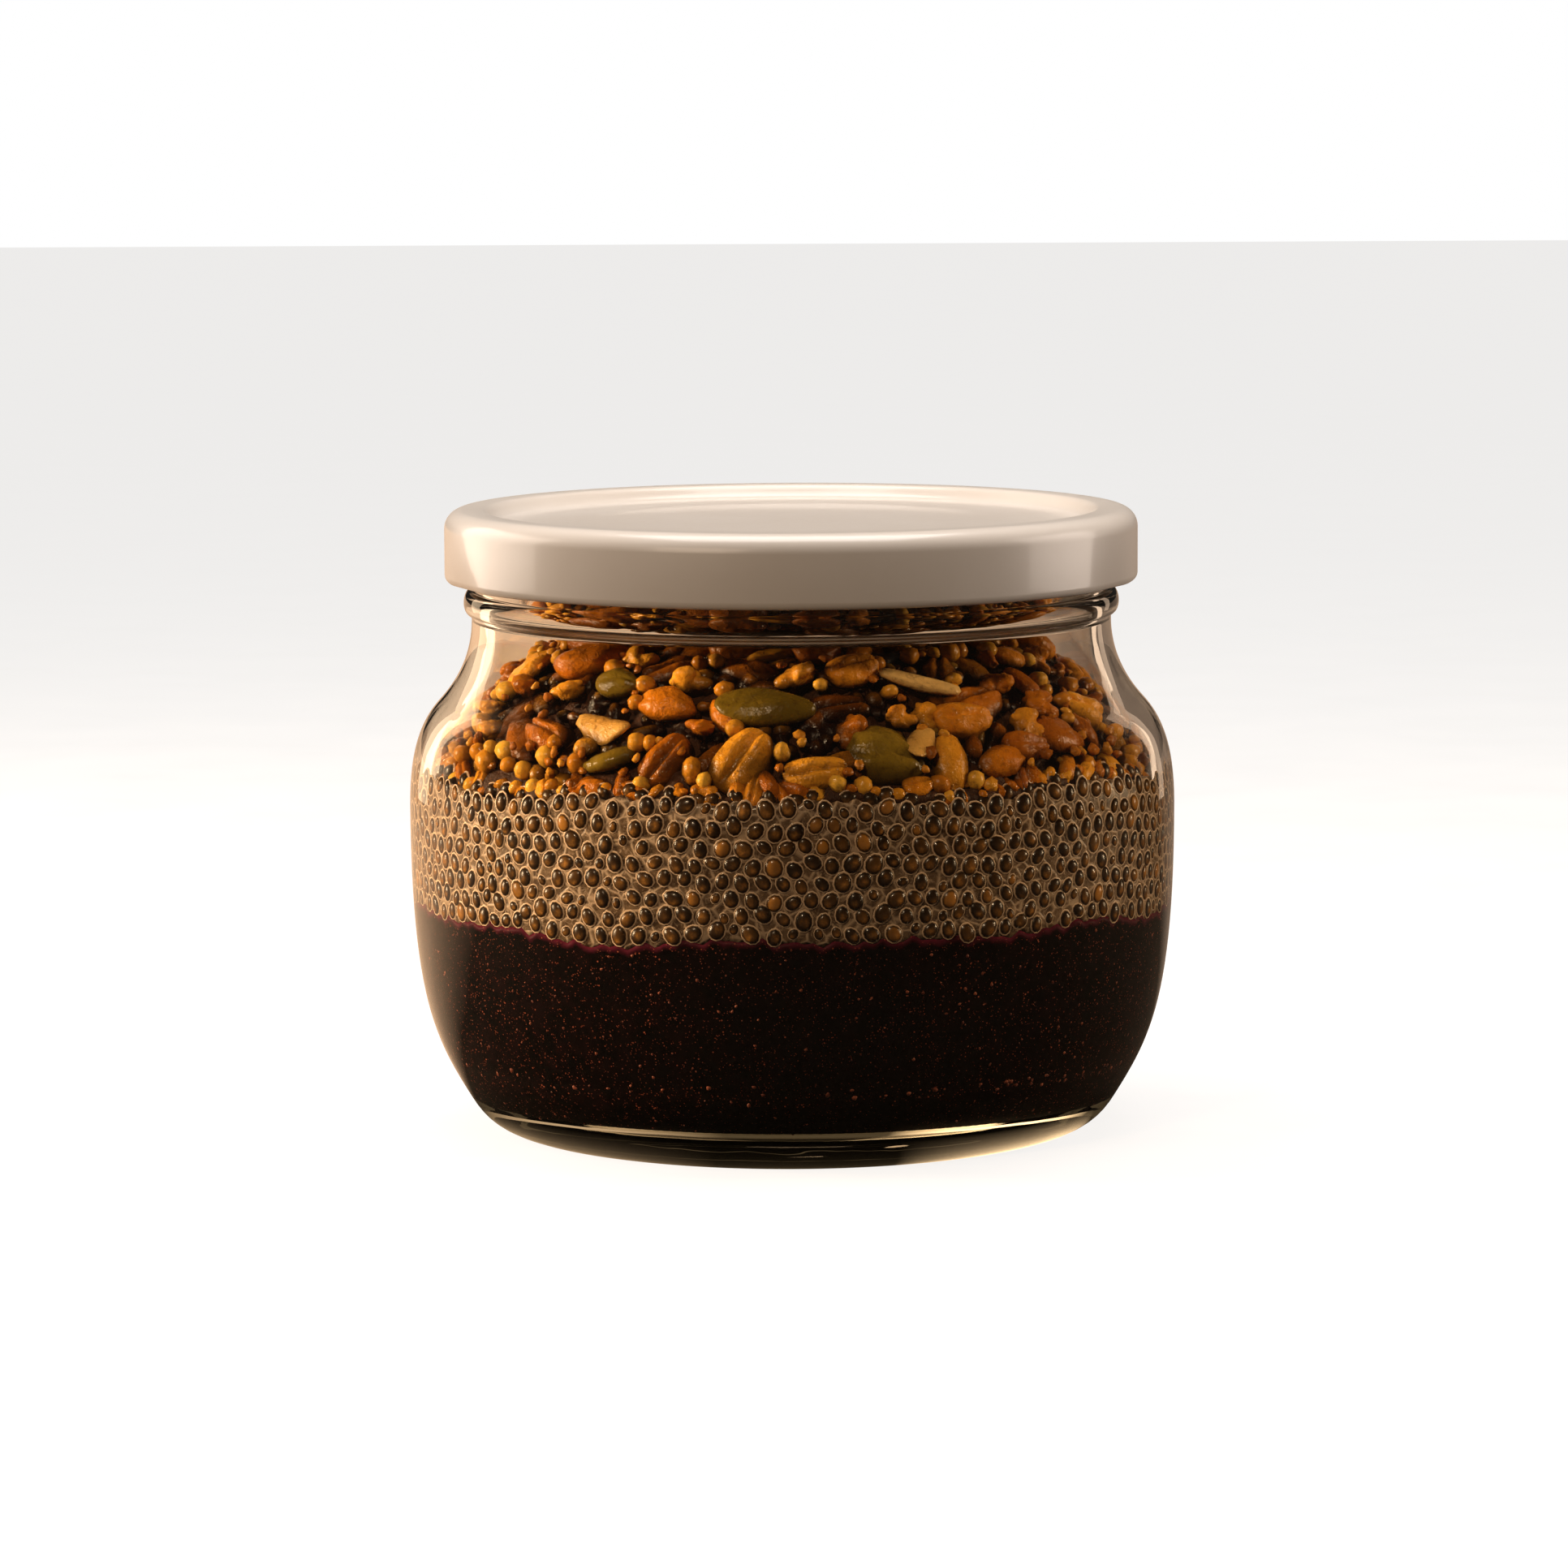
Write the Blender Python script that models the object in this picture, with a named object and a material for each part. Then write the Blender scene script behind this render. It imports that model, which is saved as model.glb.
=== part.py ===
"""Chia pudding with fruit and granola, in a glass jar shut with a metal lid.

From the bottom up the jar holds a layer of cooked fruit, a layer of chia
pudding and a heap of granola.  Metres, +Z up.  The origin is under the
middle of the jar, on the surface that it stands on.
"""
import math
import random

import bmesh
import bpy
import numpy as np
from mathutils import Matrix, Vector

MM = 0.001

# Sizes in millimetres.  GAP keeps touching pieces apart.
GAP = 0.3
WALL = 2.6
JAR_SEGMENTS = 48
LID_SEGMENTS = 52
FILL_SEGMENTS = 40

# The jar's outside, from the foot up, as curves through (radius, height).
HEEL_CURVE = ((32.4, 0.0), (36.2, 0.0), (38.2, 1.3), (39.9, 4.1))
BODY_CURVE = ((39.9, 4.1), (44.3, 11.2), (47.0, 16.2), (47.0, 40.0))
SHOULDER_CURVE = ((47.0, 40.0), (47.0, 49.4), (43.3, 52.3), (43.0, 53.0))
NECK_CURVE = ((43.0, 53.0), (40.45, 55.9), (39.2, 59.3), (39.2, 62.6))
BEAD_CURVE = ((39.2, 63.4), (40.4, 63.2), (40.5, 65.9), (39.4, 66.5))
RIM_CURVE = ((39.3, 73.6), (39.3, 75.5), (36.9, 75.5), (36.8, 73.4))

# The pushed-up middle of the foot, and the floor inside.
FOOT_RADIUS = 32.4
FOOT_FLAT = 1.6
PUSH_UP = 1.1
FLOOR_HEIGHT = 4.6
FLOOR_CURVE = ((31.0, 4.6), (36.3, 4.6), (38.8, 6.6), (40.3, 9.6))

# The lid: skirt, rolled lower edge, raised ring and sunk panel.
LID_RADIUS = 42.45
LID_TOP = 76.2
LID_BOTTOM = 67.35
LID_SHEET = 0.8
CURL_RADIUS = 0.95
SHOULDER_RADIUS = 2.3
PANEL_EDGE = 37.9
PANEL_RADIUS = 35.9
PANEL_HEIGHT = 74.6
LUG_ANGLES = (66.5, 180.0, -70.0)
LUG_HALF_WIDTH = 9.0
LUG_DEPTH = 0.55
LUG_HEIGHT = 3.0
CURL_INNER = LID_RADIUS - 2.0 * CURL_RADIUS - 0.1

# Where one layer ends and the next begins, at the glass.
FRUIT_TOP = 28.6
CHIA_TOP = 44.6

# The granola heap's surface, as (radius, height), from the glass inwards.
HEAP_PROFILE = ((43.6, 47.6), (42.0, 49.9), (38.5, 53.0), (35.0, 56.0),
                (31.0, 59.6), (25.0, 62.4), (14.0, 64.3), (0.0, 65.0))
CORE_DEPTH = 2.4
CORE_EDGE = 1.2
BITE = 0.7
CLEARANCE = 0.15

# Pieces lower than this lie against the glass, which is steep there.
PRESSED_BELOW = 50.2
PRESSED_SLOPE = -6.0
LUMP_HEIGHT = 0.4

# Larger pieces in front: kind, sideways place, height, turn in degrees.
FRONT_PIECES = (
    ("pumpkin seed", -3.1, 55.4, -4), ("pumpkin seed", 11.4, 49.3, -20),
    ("kernel", 2.9, 48.3, 6), ("kernel", 18.7, 48.8, -80),
    ("kernel", -6.0, 48.8, 45), ("kernel", -15.3, 48.9, 50),
    ("kernel", 20.0, 53.3, -8), ("kernel", 7.2, 59.6, 15),
    ("flat seed", -14.5, 55.6, -12), ("flat seed", 31.6, 50.7, -25),
    ("flat seed", -22.3, 52.4, 0), ("flat seed", 14.9, 57.6, -25),
    ("chunk", -26.3, 56.3, -10), ("chunk", -31.7, 55.8, -40),
    ("kernel", -20.3, 57.4, -5), ("kernel", 28.0, 49.8, -12),
    ("chunk", 24.6, 57.0, -30), ("chunk", -36.4, 50.6, 0),
)

# Length, width and thickness of each kind of piece.
PIECE_SIZES = {
    "pumpkin seed": (11.4, 6.6, 3.2),
    "kernel": (8.2, 5.6, 4.6),
    "flat seed": (8.0, 5.0, 2.8),
    "chunk": (7.2, 6.4, 5.6),
    "puff": (5.4, 5.0, 4.8),
}
SPREAD_KINDS = ("kernel", "puff", "flat seed", "chunk", "puff",
                "kernel", "chunk", "pumpkin seed", "puff")
SPREAD_COUNT = 64
SPREAD_RADIUS = 38.0
BAND_COUNT = 34
BAND_HEIGHT = 48.0
SPREAD_SEED = 21
CLEAR_OF_FRONT = 4.0
GOLDEN_ANGLE = math.pi * (3.0 - math.sqrt(5.0))


def curve_points(handles, steps):
    """Returns points along the Bezier curve with four (radius, height) handles."""
    a, b, c, d = (np.array(handle) for handle in handles)
    points = []
    for step in range(steps + 1):
        t = step / steps
        s = 1.0 - t
        points.append(tuple(a * s**3 + b * 3 * s * s * t + c * 3 * s * t * t + d * t**3))
    return points


def joined(*stretches):
    """Returns the stretches of points as one line, without repeated ends."""
    line = []
    for stretch in stretches:
        for point in stretch:
            if not line or math.dist(line[-1], point) > 0.01:
                line.append(point)
    return line


def arc(centre, radius, start, end, steps):
    """Returns points on an arc in the (radius, height) plane, angles in degrees."""
    points = []
    for step in range(steps + 1):
        angle = math.radians(start + (end - start) * step / steps)
        points.append((centre[0] + radius * math.cos(angle),
                       centre[1] + radius * math.sin(angle)))
    return points


def inward(points, distance):
    """Returns a line of points moved towards the axis, square to the line."""
    line = np.array(points)
    along = np.gradient(line, axis=0)
    along /= np.linalg.norm(along, axis=1)[:, None]
    return [tuple(point) for point in line + np.stack([-along[:, 1], along[:, 0]], 1) * distance]


def outer_profile():
    """Returns the jar's outside from the foot to the rim's outer edge."""
    return joined(curve_points(HEEL_CURVE, 3), curve_points(BODY_CURVE, 7),
                  curve_points(SHOULDER_CURVE, 5), curve_points(NECK_CURVE, 4),
                  curve_points(BEAD_CURVE, 4))


def inner_profile():
    """Returns the jar's inside from the floor's edge to the rim's inner edge."""
    body = joined(curve_points(BODY_CURVE, 5), curve_points(SHOULDER_CURVE, 5),
                  curve_points(NECK_CURVE, 3))
    wall = [point for point in inward(body, WALL) if point[1] > FLOOR_CURVE[-1][1] + 0.5]
    return joined(curve_points(FLOOR_CURVE, 3), wall)


def inner_radius(height):
    """Returns the inside radius of the jar at a height."""
    line = inner_profile()
    return float(np.interp(height, [p[1] for p in line], [p[0] for p in line]))


def new_object(name, mesh, colour, roughness, metallic=0.0, alpha=1.0):
    """Makes the object of one sub-part, with its own material."""
    material = bpy.data.materials.new(name)
    material.use_nodes = True
    shader = material.node_tree.nodes["Principled BSDF"]
    shader.inputs["Base Color"].default_value = (*colour, 1.0)
    shader.inputs["Roughness"].default_value = roughness
    shader.inputs["Metallic"].default_value = metallic
    shader.inputs["Alpha"].default_value = alpha
    mesh.materials.append(material)
    piece = bpy.data.objects.new(name, mesh)
    bpy.context.scene.collection.objects.link(piece)
    return piece


def turned_mesh(name, profile, segments):
    """Returns a closed mesh: a profile that starts and ends on the axis, turned."""
    mesh = bpy.data.meshes.new(name)
    bm = bmesh.new()
    corners = [bm.verts.new((radius * MM, 0.0, height * MM)) for radius, height in profile]
    edges = [bm.edges.new(pair) for pair in zip(corners, corners[1:])]
    bmesh.ops.spin(bm, geom=corners + edges, cent=(0, 0, 0), axis=(0, 0, 1),
                   angle=math.tau, steps=segments, use_merge=True)
    bmesh.ops.remove_doubles(bm, verts=bm.verts, dist=1e-6)
    bmesh.ops.recalc_face_normals(bm, faces=bm.faces)
    bm.to_mesh(mesh)
    bm.free()
    return mesh


def smooth(mesh, degrees):
    """Shades a mesh smooth, with edges sharper than the angle left crisp."""
    mesh.shade_smooth()
    mesh.set_sharp_from_angle(angle=math.radians(degrees))


def make_jar():
    """Makes the hollow glass jar, open at the top."""
    foot = [(0.0, PUSH_UP), (FOOT_RADIUS * 0.55, PUSH_UP * 0.8),
            (FOOT_RADIUS - FOOT_FLAT * 2.0, PUSH_UP * 0.25), (FOOT_RADIUS - FOOT_FLAT, 0.0)]
    outside = joined(foot, outer_profile(), curve_points(RIM_CURVE, 5))
    inside = joined([(0.0, FLOOR_HEIGHT)], inner_profile())
    mesh = turned_mesh("jar", outside + inside[::-1], JAR_SEGMENTS)
    smooth(mesh, 50)
    new_object("jar", mesh, (0.93, 0.94, 0.90), 0.05, alpha=0.35)


def make_lid():
    """Makes the metal lid: sunk panel, raised ring, skirt and rolled edge."""
    skirt = LID_RADIUS - LID_SHEET
    low = LID_BOTTOM + CURL_RADIUS
    ring = LID_TOP - LID_SHEET
    under = [(0.0, PANEL_HEIGHT - LID_SHEET), (PANEL_RADIUS + 0.3, PANEL_HEIGHT - LID_SHEET),
             (PANEL_EDGE + 0.3, ring)]
    inside = under + [(skirt - 1.2, ring), (skirt, ring - 1.2), (skirt, low + 0.8)]
    curl = arc((LID_RADIUS - CURL_RADIUS, low), CURL_RADIUS, 205, 360, 6)
    corner = arc((LID_RADIUS - SHOULDER_RADIUS, LID_TOP - SHOULDER_RADIUS),
                 SHOULDER_RADIUS, 0, 90, 6)
    panel = [(PANEL_EDGE, LID_TOP), (PANEL_EDGE - 0.6, LID_TOP - 0.25),
             (PANEL_RADIUS + 0.5, PANEL_HEIGHT + 0.2), (PANEL_RADIUS, PANEL_HEIGHT),
             (0.0, PANEL_HEIGHT)]
    mesh = turned_mesh("lid", joined(inside, curl, corner, panel), LID_SEGMENTS)
    press_lugs(mesh)
    smooth(mesh, 40)
    new_object("lid", mesh, (0.86, 0.82, 0.77), 0.3)


def press_lugs(mesh):
    """Presses the lower edge of the skirt inwards at each lug."""
    for vertex in mesh.vertices:
        radius = math.hypot(vertex.co.x, vertex.co.y)
        height = vertex.co.z / MM
        if radius < CURL_INNER * MM or height > LID_BOTTOM + LUG_HEIGHT:
            continue
        bearing = math.degrees(math.atan2(vertex.co.x, -vertex.co.y))
        for angle in LUG_ANGLES:
            off = abs((bearing - angle + 180.0) % 360.0 - 180.0) / LUG_HALF_WIDTH
            if off < 1.0:
                fade = 1.0 - max(0.0, height - LID_BOTTOM) / LUG_HEIGHT
                dent = LUG_DEPTH * (1.0 - off * off) * fade
                shift = 1.0 - dent * MM / radius
                vertex.co.x *= shift
                vertex.co.y *= shift


def uneven(angle, height, tallness, phases):
    """Returns the height of a layer's wavy upper edge at one bearing."""
    wave = 0.0
    for count, phase in phases:
        wave += math.sin(count * angle + phase) / len(phases)
    return height + tallness * wave


def fruit_edge(angle):
    """Returns the height of the fruit layer's top at the glass."""
    return uneven(angle, FRUIT_TOP, 0.9, ((3, 0.4), (7, 2.0), (11, 4.1)))


def chia_edge(angle):
    """Returns the height of the chia layer's top at the glass."""
    return uneven(angle, CHIA_TOP, 1.0, ((2, 1.1), (5, 3.0), (9, 0.2)))


def layer_mesh(name, edge_below, edge_above, rings):
    """Returns a closed layer that fills the jar between two wavy edges."""
    mesh = bpy.data.meshes.new(name)
    bm = bmesh.new()
    columns = []
    for segment in range(FILL_SEGMENTS):
        angle = math.tau * segment / FILL_SEGMENTS
        top = edge_above(angle)
        if edge_below is None:
            line = [(r, z + GAP) for r, z in curve_points(FLOOR_CURVE, 3)]
            low = line[-1][1] + 1.5
        else:
            low = edge_below(angle) + GAP
            line = [(inner_radius(low) * 0.5, low)]
        steps = [low + (top - low) * step / rings for step in range(rings + 1)]
        line += [(inner_radius(z) - GAP, z) for z in steps]
        line.append((inner_radius(top) * 0.5, top))
        columns.append([bm.verts.new((r * math.sin(angle) * MM, -r * math.cos(angle) * MM, z * MM))
                        for r, z in line])
    bottom_height = columns_mean(columns, 0)
    top_height = columns_mean(columns, -1)
    close_columns(bm, columns, bottom_height, top_height)
    bm.to_mesh(mesh)
    bm.free()
    return mesh


def columns_mean(columns, index):
    """Returns the mean height of one ring of points."""
    return sum(column[index].co.z for column in columns) / len(columns)


def close_columns(bm, columns, bottom_height, top_height):
    """Joins columns of points into a closed surface with a pole at each end."""
    bottom = bm.verts.new((0.0, 0.0, bottom_height))
    top = bm.verts.new((0.0, 0.0, top_height))
    for this, following in zip(columns, columns[1:] + columns[:1]):
        for row in range(len(this) - 1):
            bm.faces.new((this[row], following[row], following[row + 1], this[row + 1]))
        bm.faces.new((bottom, following[0], this[0]))
        bm.faces.new((top, this[-1], following[-1]))
    bmesh.ops.recalc_face_normals(bm, faces=bm.faces)


def heap_height(radius):
    """Returns the height of the granola heap's smooth surface at a radius."""
    line = HEAP_PROFILE[::-1]
    return float(np.interp(radius, [p[0] for p in line], [p[1] for p in line]))


def heap_slope(radius):
    """Returns how steeply the heap's smooth surface falls at a radius."""
    return (heap_height(radius + 1.0) - heap_height(max(radius - 1.0, 0.0))) / 2.0


def heap_radius(height):
    """Returns the radius of the heap's surface at a height."""
    return float(np.interp(height, [p[1] for p in HEAP_PROFILE], [p[0] for p in HEAP_PROFILE]))


def lump(x, y):
    """Returns a gentle unevenness of the heap at a place."""
    return LUMP_HEIGHT * (math.sin(0.31 * x + 1.0) * math.cos(0.27 * y)
                          + 0.6 * math.sin(0.53 * y + 0.4 * x + 2.0))


def core_mesh():
    """Returns the heap's core, which lies a little under its surface."""
    mesh = bpy.data.meshes.new("granola")
    bm = bmesh.new()
    columns = []
    for segment in range(FILL_SEGMENTS):
        angle = math.tau * segment / FILL_SEGMENTS
        low = chia_edge(angle) + GAP
        wall = inner_radius(low) - GAP - 0.25
        line = [(inner_radius(low) * 0.5, low), (wall, low)]
        for radius in (wall - 0.6, 40.5, 37.0, 32.0, 26.0, 18.0, 9.0):
            x = radius * math.sin(angle)
            y = -radius * math.cos(angle)
            depth = CORE_DEPTH * math.hypot(1.0, heap_slope(radius))
            height = heap_height(radius) - depth + lump(x, y)
            line.append((radius, max(height, low + CORE_EDGE)))
        columns.append([bm.verts.new((r * math.sin(angle) * MM, -r * math.cos(angle) * MM, z * MM))
                        for r, z in line])
    close_columns(bm, columns, columns_mean(columns, 0), (heap_height(0.0) - CORE_DEPTH) * MM)
    bm.to_mesh(mesh)
    bm.free()
    return mesh


def piece_mesh(kind, rng):
    """Returns one low-sided seed, kernel or chunk at its true size."""
    length, width, thickness = (size * rng.uniform(0.9, 1.1) for size in PIECE_SIZES[kind])
    mesh = bpy.data.meshes.new(kind)
    bm = bmesh.new()
    bmesh.ops.create_uvsphere(bm, u_segments=6 if length > 8.5 else 5,
                              v_segments=4 if length > 5.6 else 3, radius=0.5)
    for vertex in bm.verts:
        taper = 1.0 - 0.22 * vertex.co.x if kind == "pumpkin seed" else 1.0
        rough = rng.uniform(0.88, 1.08) if kind in ("chunk", "puff") else 1.0
        vertex.co = Vector((vertex.co.x * length, vertex.co.y * width * taper,
                            vertex.co.z * thickness)) * rough * MM
    bm.to_mesh(mesh)
    bm.free()
    return mesh


def surface_frame(x, y, slope):
    """Returns the axes on a slope of the heap: sideways, up the slope, outwards."""
    radius = max(math.hypot(x, y), 0.01)
    radial = Vector((x / radius, y / radius, 0.0))
    outwards = (Vector((0.0, 0.0, 1.0)) - radial * slope).normalized()
    sideways = Vector((-radial.y, radial.x, 0.0))
    if sideways.x < 0.0 and y < 0.0:
        sideways = -sideways
    return sideways, outwards.cross(sideways).normalized(), outwards


def trespass(mesh, matrix):
    """Returns how far a placed piece reaches into the chia and into the glass."""
    below = 0.0
    outside = 0.0
    for vertex in mesh.vertices:
        place = matrix @ vertex.co / MM
        floor = chia_edge(math.atan2(place.x, -place.y)) + GAP + CLEARANCE
        limit = inner_radius(place.z) - GAP - CLEARANCE
        below = max(below, floor - place.z)
        outside = max(outside, math.hypot(place.x, place.y) - limit)
    return below, outside


def place_piece(kind, x, y, height, turn, tilt, rng):
    """Sets one piece on the heap, moved inwards until it fits, or returns None."""
    mesh = piece_mesh(kind, rng)
    radius = max(math.hypot(x, y), 0.01)
    half = PIECE_SIZES[kind][2] / 2.0
    if height < PRESSED_BELOW:
        axes = surface_frame(x, y, PRESSED_SLOPE)
        reach = inner_radius(height) - GAP - CLEARANCE - half
    else:
        axes = surface_frame(x, y, heap_slope(radius))
        reach = radius - (CORE_DEPTH + BITE - half) * math.hypot(axes[2].x, axes[2].y)
        height -= (CORE_DEPTH + BITE - half) * axes[2].z
    spin = Matrix.Rotation(math.radians(turn), 3, "Z") @ Matrix.Rotation(tilt, 3, "X")
    turned = (Matrix(axes).transposed() @ spin).to_4x4()
    for _ in range(6):
        centre = Vector((x * reach / radius, y * reach / radius, height))
        matrix = Matrix.Translation(centre * MM) @ turned
        below, outside = trespass(mesh, matrix)
        if below == 0.0 and outside == 0.0:
            piece = bpy.data.objects.new("fused_piece", mesh)
            piece.matrix_world = matrix
            return piece
        height += below
        reach -= outside
    bpy.data.meshes.remove(mesh)
    return None


def heap_pieces():
    """Returns the heap's pieces: the front ones, a ring at the glass, a spread."""
    rng = random.Random(SPREAD_SEED)
    places = []
    for kind, x, height, turn in FRONT_PIECES:
        y = -math.sqrt(max(heap_radius(height) ** 2 - x * x, 1.0))
        places.append((kind, x, y, height, turn))
    front = [(x, y) for _, x, y, _, _ in places]
    spread = []
    for index in range(BAND_COUNT):
        angle = math.tau * (index + rng.uniform(-0.2, 0.2)) / BAND_COUNT
        height = BAND_HEIGHT + rng.uniform(-0.4, 0.9)
        radius = heap_radius(height)
        spread.append((radius * math.cos(angle), radius * math.sin(angle), height))
    for index in range(SPREAD_COUNT):
        radius = SPREAD_RADIUS * math.sqrt((index + 0.5) / SPREAD_COUNT)
        angle = index * GOLDEN_ANGLE
        spread.append((radius * math.cos(angle), radius * math.sin(angle), heap_height(radius)))
    for index, (x, y, height) in enumerate(spread):
        if min(math.dist((x, y), place) for place in front) > CLEAR_OF_FRONT:
            kind = SPREAD_KINDS[index % len(SPREAD_KINDS)]
            places.append((kind, x, y, height, rng.uniform(0, 180)))
    pieces = [place_piece(*place, rng.uniform(-0.35, 0.35), rng) for place in places]
    return [piece for piece in pieces if piece is not None]


def make_granola():
    """Makes the granola heap: its core with the pieces that show fused on."""
    granola = new_object("granola", core_mesh(), (0.36, 0.19, 0.07), 0.5)
    pieces = bpy.data.collections.new("fused_pieces")
    bpy.context.scene.collection.children.link(pieces)
    for piece in heap_pieces():
        pieces.objects.link(piece)
    union = granola.modifiers.new("Fuse", "BOOLEAN")
    union.operation = "UNION"
    union.solver = "MANIFOLD"
    union.operand_type = "COLLECTION"
    union.collection = pieces
    bpy.context.view_layer.update()
    fused = bpy.data.meshes.new_from_object(granola.evaluated_get(
        bpy.context.evaluated_depsgraph_get()))
    granola.modifiers.remove(union)
    granola.data = fused
    for piece in list(pieces.objects):
        bpy.data.objects.remove(piece)
    bpy.data.collections.remove(pieces)
    drop_scraps(fused)


def drop_scraps(mesh):
    """Keeps the largest closed shell of a mesh: loose scraps and hollows go."""
    bm = bmesh.new()
    bm.from_mesh(mesh)
    bmesh.ops.triangulate(bm, faces=bm.faces)
    unseen = set(bm.faces)
    shells = []
    while unseen:
        start = unseen.pop()
        shell = {start}
        front = [start]
        while front:
            for edge in front.pop().edges:
                for face in edge.link_faces:
                    if face in unseen:
                        unseen.discard(face)
                        shell.add(face)
                        front.append(face)
        shells.append(shell)
    largest = max(shells, key=len)
    loose = [face for shell in shells if shell is not largest for face in shell]
    bmesh.ops.delete(bm, geom=loose, context="FACES")
    bm.to_mesh(mesh)
    bm.free()


def main():
    """Clears the scene and makes the jar, its lid and the three fillings."""
    for old in list(bpy.data.objects):
        bpy.data.objects.remove(old)
    make_jar()
    make_lid()
    fruit = layer_mesh("fruit_layer", None, lambda angle: fruit_edge(angle) - GAP, 4)
    new_object("fruit_layer", fruit, (0.05, 0.02, 0.025), 0.35)
    chia = layer_mesh("chia_layer", fruit_edge, lambda angle: chia_edge(angle) - GAP, 4)
    new_object("chia_layer", chia, (0.34, 0.29, 0.23), 0.3)
    make_granola()


main()
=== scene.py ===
"""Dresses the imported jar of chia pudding: glass, lid, fruit, chia gel and granola.

Lengths are millimetres until a mesh is made.  Bearings run from the front (-Y)
towards +X, and heights start at the surface that the jar stands on.
"""
import logging
import math
import random
from collections.abc import Callable
from dataclasses import dataclass
from enum import Enum
from typing import Any

import bmesh
import bpy
import numpy as np
from mathutils import Matrix, Vector, noise

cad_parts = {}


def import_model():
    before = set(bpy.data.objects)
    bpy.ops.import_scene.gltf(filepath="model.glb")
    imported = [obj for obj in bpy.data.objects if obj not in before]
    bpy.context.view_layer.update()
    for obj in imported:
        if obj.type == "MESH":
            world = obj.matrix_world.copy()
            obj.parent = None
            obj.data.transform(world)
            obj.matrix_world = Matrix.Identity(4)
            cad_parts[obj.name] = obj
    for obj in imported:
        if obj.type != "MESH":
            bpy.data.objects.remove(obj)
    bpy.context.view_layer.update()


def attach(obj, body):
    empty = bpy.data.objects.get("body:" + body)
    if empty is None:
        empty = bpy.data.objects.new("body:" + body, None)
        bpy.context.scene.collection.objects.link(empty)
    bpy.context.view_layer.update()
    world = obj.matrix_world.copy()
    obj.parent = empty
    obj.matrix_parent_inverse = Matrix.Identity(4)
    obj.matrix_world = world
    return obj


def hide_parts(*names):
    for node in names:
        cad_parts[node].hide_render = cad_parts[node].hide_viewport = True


MM = 0.001
LOG = logging.getLogger("jar")

Line = list[tuple[float, float]]
Colour = tuple[float, float, float]


def curve_points(handles: tuple, steps: int) -> Line:
    """Samples a Bezier curve in the (radius, height) plane.

    Args:
        handles: Its four (radius, height) handles.
        steps: How many stretches to cut it into.

    Returns:
        The points along it, both ends included.
    """
    a, b, c, d = (np.array(handle) for handle in handles)
    points = []
    for step in range(steps + 1):
        t = step / steps
        s = 1.0 - t
        points.append(tuple(a * s**3 + b * 3 * s * s * t + c * 3 * s * t * t + d * t**3))
    return points


def arc(centre: tuple[float, float], radius: float, start: float, end: float, steps: int) -> Line:
    """Samples an arc in the (radius, height) plane.

    Args:
        centre: Its middle.
        radius: Its radius.
        start: The angle of its first point, in degrees.
        end: The angle of its last point, in degrees.
        steps: How many stretches to cut it into.

    Returns:
        The points along it.
    """
    angles = np.radians(np.linspace(start, end, steps + 1))
    return [(centre[0] + radius * math.cos(a), centre[1] + radius * math.sin(a)) for a in angles]


def joined(*stretches: Line) -> Line:
    """Joins stretches of points into one line.

    Args:
        stretches: The stretches, end to start.

    Returns:
        One line without repeated points.
    """
    line: Line = []
    for stretch in stretches:
        for point in stretch:
            if not line or math.dist(line[-1], point) > 0.005:
                line.append(point)
    return line


def inward(points: Line, distance: float) -> Line:
    """Moves a line of points towards the axis, square to the line.

    Args:
        points: The line.
        distance: How far to move it.

    Returns:
        The moved line.
    """
    line = np.array(points)
    along = np.gradient(line, axis=0)
    along /= np.linalg.norm(along, axis=1)[:, None]
    return [tuple(point) for point in line + np.stack([-along[:, 1], along[:, 0]], 1) * distance]


def around(radius: float | np.ndarray, angle: float | np.ndarray,
           height: float | np.ndarray) -> np.ndarray:
    """Turns bearings into places.

    Args:
        radius: Distance from the axis.
        angle: Bearing from the front.
        height: Height.

    Returns:
        An array whose last axis is x, y, z.
    """
    return np.stack(np.broadcast_arrays(radius * np.sin(angle), -radius * np.cos(angle), height), -1)


def closed_mesh(name: str, rows: np.ndarray) -> bpy.types.Mesh:
    """Makes a smooth mesh from rows of points that run right round.

    Args:
        name: The mesh's name.
        rows: Points as (row, column, xyz); a row that shrinks to a point is a pole.

    Returns:
        The mesh, in metres, with its doubles merged and its faces outwards.
    """
    row_count, columns = rows.shape[:2]
    index = np.arange(row_count * columns).reshape(row_count, columns)
    after = np.roll(index, -1, axis=1)
    faces = np.stack([index[:-1], after[:-1], after[1:], index[1:]], -1).reshape(-1, 4)
    mesh = bpy.data.meshes.new(name)
    mesh.from_pydata((rows.reshape(-1, 3) * MM).tolist(), [], faces.tolist())
    bm = bmesh.new()
    bm.from_mesh(mesh)
    bmesh.ops.remove_doubles(bm, verts=bm.verts, dist=1e-7)
    bmesh.ops.recalc_face_normals(bm, faces=bm.faces)
    bm.to_mesh(mesh)
    bm.free()
    mesh.shade_smooth()
    return mesh


def turned_mesh(name: str, profile: Line, segments: int) -> bpy.types.Mesh:
    """Turns a profile that starts and ends on the axis.

    Args:
        name: The mesh's name.
        profile: The (radius, height) points.
        segments: How many columns go round.

    Returns:
        The closed mesh.
    """
    line = np.array(profile)
    angle = np.arange(segments) * math.tau / segments
    return closed_mesh(name, around(line[:, :1], angle[None], line[:, 1:]))


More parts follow.
